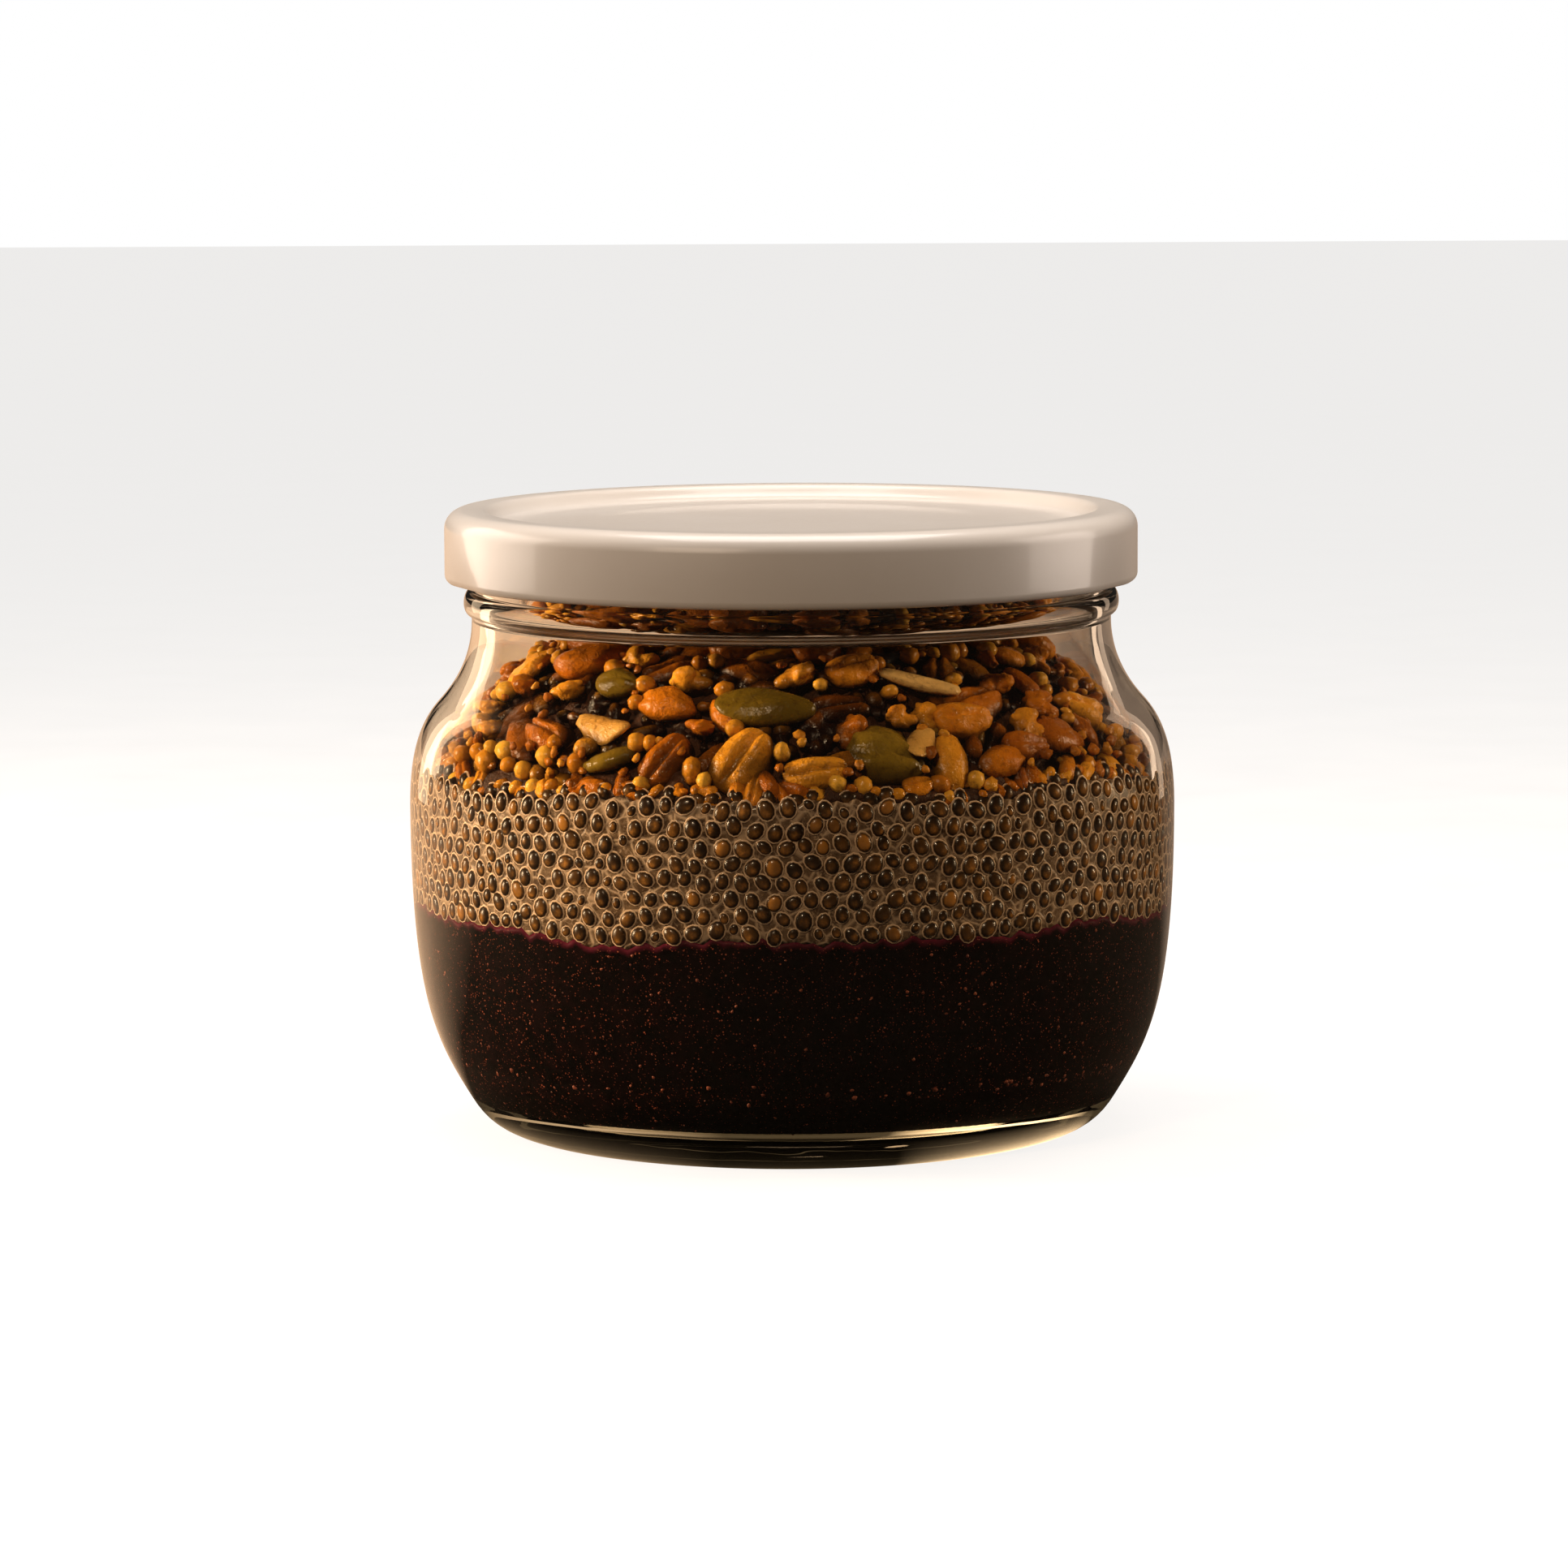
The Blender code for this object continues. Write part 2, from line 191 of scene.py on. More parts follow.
def set_values(mesh: bpy.types.Mesh, name: str, values: np.ndarray) -> None:
    """Stores one number or one vector per vertex as an attribute of a mesh.

    Args:
        mesh: The mesh.
        name: The attribute's name.
        values: Its values, in the order of the vertices.
    """
    values = np.asarray(values, dtype=np.float32)
    kind = "FLOAT" if values.ndim == 1 else "FLOAT_VECTOR"
    layer = mesh.attributes.new(name, kind, "POINT")
    layer.data.foreach_set("value" if values.ndim == 1 else "vector", values.ravel())


def corners(mesh: bpy.types.Mesh) -> np.ndarray:
    """Returns a mesh's vertices in millimetres."""
    places = np.empty(len(mesh.vertices) * 3, dtype=np.float32)
    mesh.vertices.foreach_get("co", places)
    return places.reshape(-1, 3) / MM


def placed(name: str, mesh: bpy.types.Mesh, slot: str, *nodes: str) -> bpy.types.Object:
    """Puts a finished mesh in the scene as a piece of the part.

    Args:
        name: The object's name.
        mesh: Its mesh, in place.
        slot: The record's material slot; not used.
        nodes: The CAD nodes that it stands for.

    Returns:
        The object.
    """
    piece = bpy.data.objects.new(name, mesh)
    bpy.context.scene.collection.objects.link(piece)
    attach(piece, "root")
    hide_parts(*nodes)
    mesh.update()
    LOG.info("%s: %d faces", name, len(mesh.polygons))
    return piece


class Wire:
    """One output of a material's node, with arithmetic that adds Math nodes."""

    def __init__(self, bench: "Bench", socket: bpy.types.NodeSocket) -> None:
        """Keeps the socket and the bench that it belongs to."""
        self.bench = bench
        self.socket = socket

    def _math(self, operation: str, first: Any, second: Any) -> "Wire":
        """Adds one Math node.

        Args:
            operation: Its operation.
            first: Its first input.
            second: Its second input.

        Returns:
            Its output.
        """
        return self.bench.wire("ShaderNodeMath", {"operation": operation}, {0: first, 1: second})

    def __add__(self, other: Any) -> "Wire":
        """Returns self + other."""
        return self._math("ADD", self, other)

    def __radd__(self, other: Any) -> "Wire":
        """Returns other + self."""
        return self._math("ADD", other, self)

    def __sub__(self, other: Any) -> "Wire":
        """Returns self - other."""
        return self._math("SUBTRACT", self, other)

    def __rsub__(self, other: Any) -> "Wire":
        """Returns other - self."""
        return self._math("SUBTRACT", other, self)

    def __mul__(self, other: Any) -> "Wire":
        """Returns self * other."""
        return self._math("MULTIPLY", self, other)

    def __rmul__(self, other: Any) -> "Wire":
        """Returns other * self."""
        return self._math("MULTIPLY", other, self)


class Bench:
    """Builds the nodes of one material, or of the backdrop."""

    def __init__(self, name: str, home: bpy.types.World | None = None) -> None:
        """Starts an empty material, or empties the given world."""
        self.material = home or bpy.data.materials.new(name)
        self.material.use_nodes = True
        self.tree = self.material.node_tree
        self.tree.nodes.clear()

    def node(self, kind: str, settings: dict | None = None,
             values: dict | None = None) -> bpy.types.Node:
        """Adds a node.

        Args:
            kind: Its type.
            settings: Its own settings, set first; "stops" are a ramp's stops.
            values: Numbers, colours or wires for its inputs.

        Returns:
            The node.
        """
        made = self.tree.nodes.new(kind)
        for key, value in (settings or {}).items():
            if key == "stops":
                self._set_stops(made.color_ramp, value)
            else:
                setattr(made, key, value)
        for key, value in (values or {}).items():
            if isinstance(value, Wire):
                self.tree.links.new(value.socket, made.inputs[key])
            else:
                made.inputs[key].default_value = value
        return made

    @staticmethod
    def _set_stops(ramp: bpy.types.ColorRamp, stops: list) -> None:
        """Gives a ramp its stops.

        Args:
            ramp: The ramp.
            stops: Pairs of a place and a colour or a grey.
        """
        for _ in range(len(stops) - 2):
            ramp.elements.new(0.5)
        for element, (place, colour) in zip(ramp.elements, stops):
            element.position = place
            element.color = (*colour, 1.0) if isinstance(colour, tuple) else (colour,) * 3 + (1.0,)

    def wire(self, kind: str, settings: dict | None = None, values: dict | None = None,
             output: int | str = 0) -> Wire:
        """Adds a node, as node() does, and returns one of its outputs as a wire."""
        return Wire(self, self.node(kind, settings, values).outputs[output])

    def place(self) -> Wire:
        """Returns the Object coordinates."""
        return self.wire("ShaderNodeTexCoord", output="Object")

    def axis(self, name: str) -> Wire:
        """Returns one of X, Y or Z of the Object coordinates, in metres."""
        return self.wire("ShaderNodeSeparateXYZ", values={0: self.place()}, output=name)

    def attribute(self, name: str) -> Wire:
        """Returns a number stored on the mesh."""
        return self.wire("ShaderNodeAttribute", {"attribute_name": name}, output="Fac")

    def noise(self, scale: float, detail: float = 3.0, roughness: float = 0.55,
              warp: float = 0.0) -> Wire:
        """Returns noise between 0 and 1; scale is in waves per metre."""
        return self.wire("ShaderNodeTexNoise", values={
            "Vector": self.place(), "Scale": scale, "Detail": detail,
            "Roughness": roughness, "Distortion": warp}, output="Fac")

    def cells(self, scale: float, feature: str = "F1") -> Wire:
        """Returns the distances in a Voronoi pattern; scale is in cells per metre."""
        return self.wire("ShaderNodeTexVoronoi", {"feature": feature},
                         {"Vector": self.place(), "Scale": scale}, "Distance")

    def ramp(self, value: Wire, *stops: tuple) -> Wire:
        """Returns a value put through a ramp of (place, colour or grey) stops."""
        return self.wire("ShaderNodeValToRGB", {"stops": list(stops)}, {"Fac": value})

    def mix(self, factor: Any, first: Any, second: Any, blend: str = "MIX") -> Wire:
        """Mixes two colours.

        Args:
            factor: How much of the second.
            first: A colour or a wire.
            second: A colour or a wire.
            blend: The way to mix them.

        Returns:
            The mixed colour.
        """
        full = [c if isinstance(c, Wire) else (*c, 1.0) for c in (first, second)]
        return self.wire("ShaderNodeMix", {"data_type": "RGBA", "blend_type": blend},
                         {0: factor, 6: full[0], 7: full[1]}, 2)

    def added(self, factor: Any, first: Any, second: Any) -> Wire:
        """Adds some of a second colour to a first."""
        return self.mix(factor, first, second, "ADD")

    def bump(self, height: Wire, depth: float, strength: float = 1.0) -> Wire:
        """Returns a normal bent by a height of 0 to 1; depth is in millimetres."""
        return self.wire("ShaderNodeBump", values={
            "Height": height, "Distance": depth * MM, "Strength": strength}, output="Normal")

    def surface(self, values: dict) -> Wire:
        """Returns a Principled shader with these inputs."""
        full = {key: (*value, 1.0) if isinstance(value, tuple) and len(value) == 3 else value
                for key, value in values.items()}
        return self.wire("ShaderNodeBsdfPrincipled", values=full)

    def finish(self, shader: Wire) -> bpy.types.Material:
        """Joins the shader to the output and returns the material."""
        self.node("ShaderNodeOutputMaterial", values={"Surface": shader})
        return self.material


@dataclass(frozen=True)
class GlassFinish:
    """Clear soda glass, a little olive where it is thick at the base."""

    clear: Colour = (0.985, 0.975, 0.955)
    thick: Colour = (0.80, 0.74, 0.58)
    thick_below: float = 6.5
    index: float = 1.5

    def material(self) -> bpy.types.Material:
        """Makes the glass, which lets lamps shine through it."""
        bench = Bench("glass")
        height = bench.axis("Z") * (1.0 / (self.thick_below * MM))
        tint = bench.ramp(height, (0.35, self.thick), (1.0, self.clear))
        waves = bench.noise(85.0, 2.0, 0.4)
        smears = bench.ramp(bench.noise(160.0, 4.0, 0.6), (0.45, 0.0), (0.8, 0.035))
        glass = bench.surface({
            "Base Color": tint, "Roughness": smears, "IOR": self.index,
            "Transmission Weight": 1.0, "Normal": bench.bump(waves, 0.35, 0.35)})
        lamp = bench.wire("ShaderNodeLightPath", output="Is Shadow Ray")
        through = bench.wire("ShaderNodeBsdfTransparent", values={"Color": (0.93, 0.91, 0.88, 1.0)})
        return bench.finish(bench.wire("ShaderNodeMixShader", values={0: lamp, 1: glass, 2: through}))


@dataclass(frozen=True)
class EnamelFinish:
    """Glossy warm white enamel on pressed metal."""

    colour: Colour = (0.80, 0.73, 0.655)
    shade: Colour = (0.76, 0.685, 0.605)
    roughness: float = 0.3

    def material(self) -> bpy.types.Material:
        """Makes the enamel, with its orange peel and faint rubbing."""
        bench = Bench("lid_enamel")
        clouds = bench.ramp(bench.noise(55.0, 4.0, 0.6), (0.35, 0.0), (0.75, 1.0))
        rubbed = bench.ramp(bench.noise(900.0, 3.0, 0.7), (0.5, 0.0), (0.8, 0.12))
        peel = bench.noise(1400.0, 2.0, 0.5)
        return bench.finish(bench.surface({
            "Base Color": bench.mix(clouds, self.colour, self.shade),
            "Roughness": rubbed + self.roughness, "Coat Weight": 0.3, "Coat Roughness": 0.08,
            "Normal": bench.bump(peel, 0.01, 0.15)}))


@dataclass(frozen=True)
class FruitFinish:
    """Cooked dark berries pressed against the glass."""

    deep: Colour = (0.0006, 0.0002, 0.0002)
    flesh: Colour = (0.0062, 0.0014, 0.0018)
    edge: Colour = (0.085, 0.007, 0.020)
    speck: Colour = (0.34, 0.085, 0.045)

    def material(self) -> bpy.types.Material:
        """Makes the fruit, with fine specks and a magenta upper edge."""
        bench = Bench("fruit")
        pulp = bench.ramp(bench.noise(420.0, 5.0, 0.65), (0.4, 0.0), (0.72, 1.0))
        ground = bench.mix(pulp, self.deep, self.flesh)
        depth = bench.attribute("depth") + bench.noise(900.0, 3.0) * 0.8 - 0.4
        stained = bench.mix(bench.ramp(depth, (0.0, 1.0), (0.9, 0.0)), ground, self.edge)
        dots = bench.ramp(bench.cells(1500.0), (0.10, 1.0), (0.19, 0.0))
        fine = bench.ramp(bench.cells(3100.0), (0.14, 0.7), (0.26, 0.0))
        few = bench.ramp(bench.noise(800.0, 2.0), (0.50, 0.0), (0.62, 1.0))
        some = bench.ramp(bench.noise(1300.0, 2.0), (0.46, 0.0), (0.60, 1.0))
        colour = bench.mix(fine * some, bench.mix(dots * few, stained, self.speck), self.speck)
        return bench.finish(bench.surface({
            "Base Color": colour, "Roughness": 0.4, "Specular IOR Level": 0.03,
            "Normal": bench.bump(bench.noise(700.0, 3.0, 0.6), 0.10, 0.35)}))


@dataclass(frozen=True)
class PipFinish:
    """Reddish pips and bits of skin in the fruit."""

    dark: Colour = (0.06, 0.010, 0.008)
    light: Colour = (0.30, 0.085, 0.045)

    def material(self) -> bpy.types.Material:
        """Makes the pips, each with its own shade."""
        bench = Bench("fruit_pips")
        patch = bench.attribute("shade") * 0.8 + bench.noise(2500.0, 2.0) * 0.2
        return bench.finish(bench.surface({
            "Base Color": bench.mix(patch, self.dark, self.light), "Roughness": 0.35,
            "Specular IOR Level": 0.2}))


@dataclass(frozen=True)
class GelFinish:
    """Milky taupe gel between the chia seeds."""

    milk: Colour = (0.15, 0.094, 0.052)
    shadow: Colour = (0.05, 0.026, 0.012)
    web: Colour = (0.48, 0.345, 0.235)

    def material(self) -> bpy.types.Material:
        """Makes the gel, with light web lines and darker hollows."""
        bench = Bench("chia_gel")
        cloud = bench.ramp(bench.noise(650.0, 5.0, 0.7, 0.6), (0.38, 0.0), (0.6, 1.0))
        lines = bench.ramp(bench.cells(520.0, "DISTANCE_TO_EDGE"), (0.015, 1.0), (0.11, 0.0))
        streaks = bench.ramp(bench.noise(1500.0, 4.0, 0.7, 1.2), (0.52, 0.0), (0.72, 0.8))
        body = bench.mix(cloud, self.shadow, self.milk)
        colour = bench.mix(streaks, bench.mix(lines * 0.75, body, self.web), self.web)
        relief = lines * 0.5 + bench.noise(1800.0, 4.0, 0.6) * 0.5
        return bench.finish(bench.surface({
            "Base Color": colour, "Roughness": 0.36, "Specular IOR Level": 0.2,
            "Coat Weight": 0.25, "Coat Roughness": 0.14, "Normal": bench.bump(relief, 0.18, 0.6)}))


@dataclass(frozen=True)
class SeedFinish:
    """Soaked chia seeds: dark skin, a painted glow of light low inside, and a pale rim of gel."""

    dark: Colour = (0.016, 0.007, 0.002)
    brown: Colour = (0.066, 0.029, 0.006)
    amber: Colour = (0.36, 0.15, 0.024)
    painted_glow_colour: Colour = (0.40, 0.175, 0.035)
    line: Colour = (0.008, 0.004, 0.0016)
    jelly: Colour = (0.15, 0.082, 0.035)
    rim: Colour = (0.66, 0.475, 0.325)

    def material(self) -> bpy.types.Material:
        """Makes the seeds; shade picks dark, brown or amber, and zone runs outwards."""
        bench = Bench("chia_seeds")
        shade = bench.attribute("shade")
        skin = bench.ramp(shade, (0.0, self.dark), (0.5, self.dark), (0.8, self.brown),
                          (0.94, self.brown), (1.0, self.amber))
        mottle = bench.ramp(bench.noise(1500.0, 4.0, 0.65), (0.42, 0.25), (0.66, 1.0))
        # painted light: the glow attribute lightens each seed's lower part towards an amber glow colour
        glow = bench.attribute("glow") * mottle * (shade * 0.6 + 0.75)
        core = bench.mix(glow, skin, self.painted_glow_colour)
        zone = bench.attribute("zone")
        lined = bench.mix(bench.ramp(zone, (0.58, 0.0), (0.80, 1.0)), core, self.line)
        clouds = bench.ramp(bench.noise(2000.0, 3.0), (0.4, 0.0), (0.65, 0.45))
        jelly = bench.mix(clouds, self.jelly, self.rim)
        inner = bench.mix(bench.ramp(zone, (0.80, 0.0), (0.83, 1.0)), lined, jelly)
        colour = bench.mix(bench.ramp(zone, (0.86, 0.0), (0.90, 1.0)), inner, self.rim)
        return bench.finish(bench.surface({
            "Base Color": colour, "Roughness": 0.3, "Specular IOR Level": 0.25,
            "Coat Weight": 0.7, "Coat Roughness": 0.09, "Normal": bench.bump(mottle, 0.03, 0.35)}))


@dataclass(frozen=True)
class RoastFinish:
    """Roasted, glazed pieces of granola, each with its own shade.

    Painted shade darkens what lies deep in the heap, and under the lid, towards the colour gap.
    """

    dark: Colour
    middle: Colour
    light: Colour
    spot: Colour = (0.10, 0.028, 0.006)
    # the colour of the painted shade in the gaps between pieces and under the lid
    gap: Colour = (0.012, 0.003, 0.0006)
    grain: float = 900.0
    relief: float = 0.42
    dryness: float = 0.0

    def material(self, name: str) -> bpy.types.Material:
        """Makes the roasted skin, glossy where it is glazed.

        Args:
            name: The material's name.

        Returns:
            The material.
        """
        bench = Bench(name)
        patch = bench.attribute("shade") * 0.75 + bench.noise(260.0, 3.0, 0.6) * 0.5 - 0.02
        skin = bench.ramp(patch, (0.05, self.dark), (0.5, self.middle), (0.95, self.light))
        spots = bench.ramp(bench.noise(self.grain, 5.0, 0.7), (0.52, 0.0), (0.75, 0.75))
        relief = bench.noise(self.grain * 0.8, 4.0, 0.6, 0.4)
        dry = bench.ramp(bench.noise(500.0, 3.0, 0.6), (0.38, 0.13), (0.68, 0.32))
        # painted shade: the deep attribute darkens the gaps, and the lid's shadow, towards gap
        painted_shade = bench.ramp(bench.attribute("deep"), (0.0, 0.0), (0.45, 0.62), (1.0, 1.0))
        return bench.finish(bench.surface({
            "Base Color": bench.mix(painted_shade, bench.mix(spots, skin, self.spot), self.gap),
            "Roughness": dry + self.dryness, "Specular IOR Level": 0.28,
            "Normal": bench.bump(relief, self.relief, 1.0)}))


@dataclass(frozen=True)
class JarShape:
    """The jar's profile, which its fillings follow too."""

    wall: float = 2.6
    heel: tuple = ((32.4, 0.0), (36.2, 0.0), (38.2, 1.3), (39.9, 4.1))
    body: tuple = ((39.9, 4.1), (44.3, 11.2), (47.0, 16.2), (47.0, 40.0))
    shoulder: tuple = ((47.0, 40.0), (47.0, 48.9), (44.3, 51.55), (43.0, 53.0))
    neck: tuple = ((43.0, 53.0), (40.45, 55.9), (39.2, 59.3), (39.2, 62.6))
    bead: tuple = ((39.2, 63.4), (40.4, 63.2), (40.5, 65.9), (39.4, 66.5))
    rim: tuple = ((39.3, 73.6), (39.3, 75.5), (36.9, 75.5), (36.8, 73.4))
    foot_radius: float = 32.4
    foot_flat: float = 1.6
    push_up: float = 1.1
    floor_height: float = 4.6
    floor: tuple = ((31.0, 4.6), (36.3, 4.6), (38.8, 6.6), (40.3, 9.6))

    def outside(self) -> Line:
        """Returns the outside from the middle of the foot to the top of the rim."""
        foot = [(0.0, self.push_up), (self.foot_radius * 0.3, self.push_up * 0.95),
                (self.foot_radius * 0.55, self.push_up * 0.8),
                (self.foot_radius * 0.8, self.push_up * 0.45),
                (self.foot_radius - self.foot_flat * 2.0, self.push_up * 0.25),
                (self.foot_radius - self.foot_flat, 0.0)]
        return joined(foot, curve_points(self.heel, 10), curve_points(self.body, 24),
                      curve_points(self.shoulder, 20), curve_points(self.neck, 14),
                      curve_points(self.bead, 12), curve_points(self.rim, 12))

    def inside(self) -> Line:
        """Returns the inside from the edge of the flat floor to the rim."""
        body = joined(curve_points(self.body, 20), curve_points(self.shoulder, 16),
                      curve_points(self.neck, 10))
        wall = [point for point in inward(body, self.wall) if point[1] > self.floor[-1][1] + 0.5]
        return joined(curve_points(self.floor, 10), wall)

    def inner_radius(self, height: float | np.ndarray) -> float | np.ndarray:
        """Returns the inside radius at a height, above the floor."""
        line = self.inside()
        return np.interp(height, [p[1] for p in line], [p[0] for p in line])


@dataclass(frozen=True)
class Jar:
    """The glass jar."""

    shape: JarShape
    segments: int = 192

    def build(self) -> bpy.types.Object:
        """Makes the hollow glass, open at the top."""
        inside = joined([(0.0, self.shape.floor_height), (15.0, self.shape.floor_height)],
                        self.shape.inside())
        mesh = turned_mesh("jar_glass", self.shape.outside() + inside[::-1], self.segments)
        mesh.materials.append(GlassFinish().material())
        return placed("jar_glass", mesh, "glass", "jar")


@dataclass(frozen=True)
class Lid:
    """The pressed metal lid that shuts the jar."""

    radius: float = 42.45
    top: float = 76.2
    bottom: float = 67.35
    sheet: float = 0.8
    curl: float = 0.95
    shoulder: float = 2.3
    panel_edge: float = 37.9
    panel_radius: float = 35.9
    panel_height: float = 74.6
    lugs: tuple = (66.5, 180.0, -70.0)
    lug_half_width: float = 9.0
    lug_depth: float = 0.55
    lug_height: float = 3.0
    segments: int = 216

    def profile(self) -> Line:
        """Returns the lid's section, from its underside's middle to its top's."""
        skirt = self.radius - self.sheet
        low = self.bottom + self.curl
        ring = self.top - self.sheet
        floor = self.panel_height - self.sheet
        under = [(0.0, floor), (12.0, floor), (self.panel_radius + 0.3, floor),
                 (self.panel_edge + 0.3, ring)]
        inside = under + arc((skirt - 1.2, ring - 1.2), 1.2, 90, 0, 4) + [(skirt, low + 0.8)]
        curl = arc((self.radius - self.curl, low), self.curl, 205, 360, 12)
        corner = arc((self.radius - self.shoulder, self.top - self.shoulder),
                     self.shoulder, 0, 90, 12)
        step = curve_points(((self.panel_edge, self.top), (self.panel_edge - 0.9, self.top),
                             (self.panel_radius + 1.1, self.panel_height + 0.15),
                             (self.panel_radius, self.panel_height)), 8)
        return joined(inside, curl, corner, step, [(24.0, self.panel_height), (12.0, self.panel_height),
                                                   (0.0, self.panel_height)])

    def press_lugs(self, mesh: bpy.types.Mesh) -> None:
        """Presses the lower edge of the skirt inwards at each lug.

        Args:
            mesh: The lid's mesh, which it changes.
        """
        places = corners(mesh)
        radius = np.hypot(places[:, 0], places[:, 1])
        bearing = np.degrees(np.arctan2(places[:, 0], -places[:, 1]))
        fade = np.clip(1.0 - (places[:, 2] - self.bottom) / self.lug_height, 0.0, 1.0)
        fade = np.where(radius > self.radius - 2.0 * self.curl - 0.1, fade, 0.0)
        for angle in self.lugs:
            off = np.abs((bearing - angle + 180.0) % 360.0 - 180.0) / self.lug_half_width
            dent = self.lug_depth * np.clip(1.0 - off * off, 0.0, 1.0) * fade
            places[:, :2] *= (1.0 - dent / np.maximum(radius, 1.0))[:, None]
        mesh.vertices.foreach_set("co", (places * MM).ravel())

    def build(self) -> bpy.types.Object:
        """Makes the lid."""
        mesh = turned_mesh("lid_shell", self.profile(), self.segments)
        self.press_lugs(mesh)
        mesh.materials.append(EnamelFinish().material())
        return placed("lid_shell", mesh, "lid_enamel", "lid")


def uneven(angle: float | np.ndarray, height: float, tallness: float,
           waves: tuple) -> float | np.ndarray:
    """Returns the height of a layer's wavy upper edge at one bearing.

    Args:
        angle: The bearing.
        height: The mean height.
        tallness: How far the waves may rise.
        waves: (count, phase) of each wave.

    Returns:
        The height at the glass.
    """
    return height + tallness * sum(np.sin(n * angle + phase) for n, phase in waves) / len(waves)


@dataclass(frozen=True)
class Layers:
    """Where one filling ends and the next begins, at the glass."""

    fruit_top: float = 28.6
    chia_top: float = 44.6
    ripple: float = 0.22

    def fine(self, angle: float | np.ndarray) -> float | np.ndarray:
        """Returns the small scallops that the seeds press into an edge."""
        return self.ripple * (np.sin(61.0 * angle + 0.7) + 0.8 * np.sin(97.0 * angle + 2.9)
                              + 0.5 * np.sin(143.0 * angle))

    def fruit_edge(self, angle: float | np.ndarray) -> float | np.ndarray:
        """Returns the height of the fruit's upper edge."""
        wave = uneven(angle, self.fruit_top, 0.9, ((3, 0.4), (7, 2.0), (11, 4.1)))
        return wave + self.fine(angle)

    def chia_edge(self, angle: float | np.ndarray) -> float | np.ndarray:
        """Returns the height of the chia's upper edge."""
        wave = uneven(angle, self.chia_top, 1.0, ((2, 1.1), (5, 3.0), (9, 0.2)))
        return wave + self.fine(angle + 1.3)


@dataclass(frozen=True)
class Filling:
    """What the layers have in common: how they reach into the glass."""

    shape: JarShape
    layers: Layers
    bite: float = 0.15
    columns: int = 480

    def wall(self, low: np.ndarray, top: np.ndarray, rows: int) -> np.ndarray:
        """Returns rows of points up the inside of the glass.

        Args:
            low: Height of the first row at each bearing.
            top: Height of the last row at each bearing.
            rows: How many rows.

        Returns:
            Points as (row, column, xyz).
        """
        share = np.linspace(0.0, 1.0, rows)[:, None]
        height = low[None] * (1.0 - share) + top[None] * share
        return around(self.shape.inner_radius(height) + self.bite, self.bearings()[None], height)

    def bearings(self) -> np.ndarray:
        """Returns the bearing of each column."""
        return np.arange(self.columns) * math.tau / self.columns

    def cap(self, height: np.ndarray, level: float, shares: tuple) -> np.ndarray:
        """Returns rows of points from the glass to the axis.

        Args:
            height: Height at the glass for each bearing.
            level: Height at the axis.
            shares: The share of the wall's radius of each row, down to 0.

        Returns:
            Points as (row, column, xyz).
        """
        rows = []
        for share in shares:
            mixed = height * share + level * (1.0 - share)
            radius = (self.shape.inner_radius(height) + self.bite) * share
            rows.append(around(radius, self.bearings(), mixed))
        return np.array(rows)


@dataclass(frozen=True)
class Fruit(Filling):
    """The layer of cooked fruit at the bottom.

    It stands a hair above the flat floor of the glass, which then carries
    light sideways as it does in the real jar.
    """

    pip_count: int = 900
    row_height: float = 10.4
    gap: float = 0.04

    def build(self) -> None:
        """Makes the fruit and its pips."""
        angle = self.bearings()
        floor = np.array(curve_points(self.shape.floor, 10))
        bite = np.interp(floor[:, :1], (36.0, 39.5), (-self.gap, self.bite))
        start = around(floor[:, :1] + bite, angle[None], floor[:, 1:] - bite * 0.5)
        low = np.full(self.columns, floor[-1, 1] + 0.6)
        top = self.layers.fruit_edge(angle)
        middle = around(np.array([[0.0], [16.0]]), angle[None],
                        np.full((2, 1), floor[0, 1] + self.gap * 0.5))
        rows = np.concatenate([middle, start, self.wall(low, top, 34),
                               self.cap(top, self.layers.fruit_top, (0.8, 0.4, 0.0))])
        mesh = closed_mesh("fruit_body", rows)
        places = corners(mesh)
        bearing = np.arctan2(places[:, 0], -places[:, 1])
        set_values(mesh, "depth", self.layers.fruit_edge(bearing) - places[:, 2])
        mesh.materials.append(FruitFinish().material())
        placed("fruit_body", mesh, "fruit", "fruit_layer")
        self.build_pips()

    def build_pips(self) -> None:
        """Scatters small pips over the fruit where it meets the glass."""
        rng = random.Random(5)
        spots = []
        for index in range(self.pip_count):
            angle = rng.uniform(0.0, math.tau)
            height = rng.uniform(5.6, float(self.layers.fruit_edge(angle)) - 0.5)
            size = rng.choice((0.16, 0.2, 0.25, 0.32, 0.45))
            if index % 8 == 0:
                height = self.row_height + rng.gauss(0.0, 0.5)
                size = rng.uniform(0.4, 0.8)
            spots.append(wall_spot(self.shape, self.bite, angle, height, rng.uniform(0.0, math.pi),
                                   (size, size * rng.uniform(0.6, 1.0), size * 0.6), rng.random()))
        scatter("fruit_pips", spots, Shapes.pip(), PipFinish().material(), "fruit", "fruit_layer")


@dataclass(frozen=True)
class Spot:
    """Where one scattered piece goes."""

    place: tuple[float, float, float]
    axes: Matrix
    size: tuple[float, float, float]
    shade: float


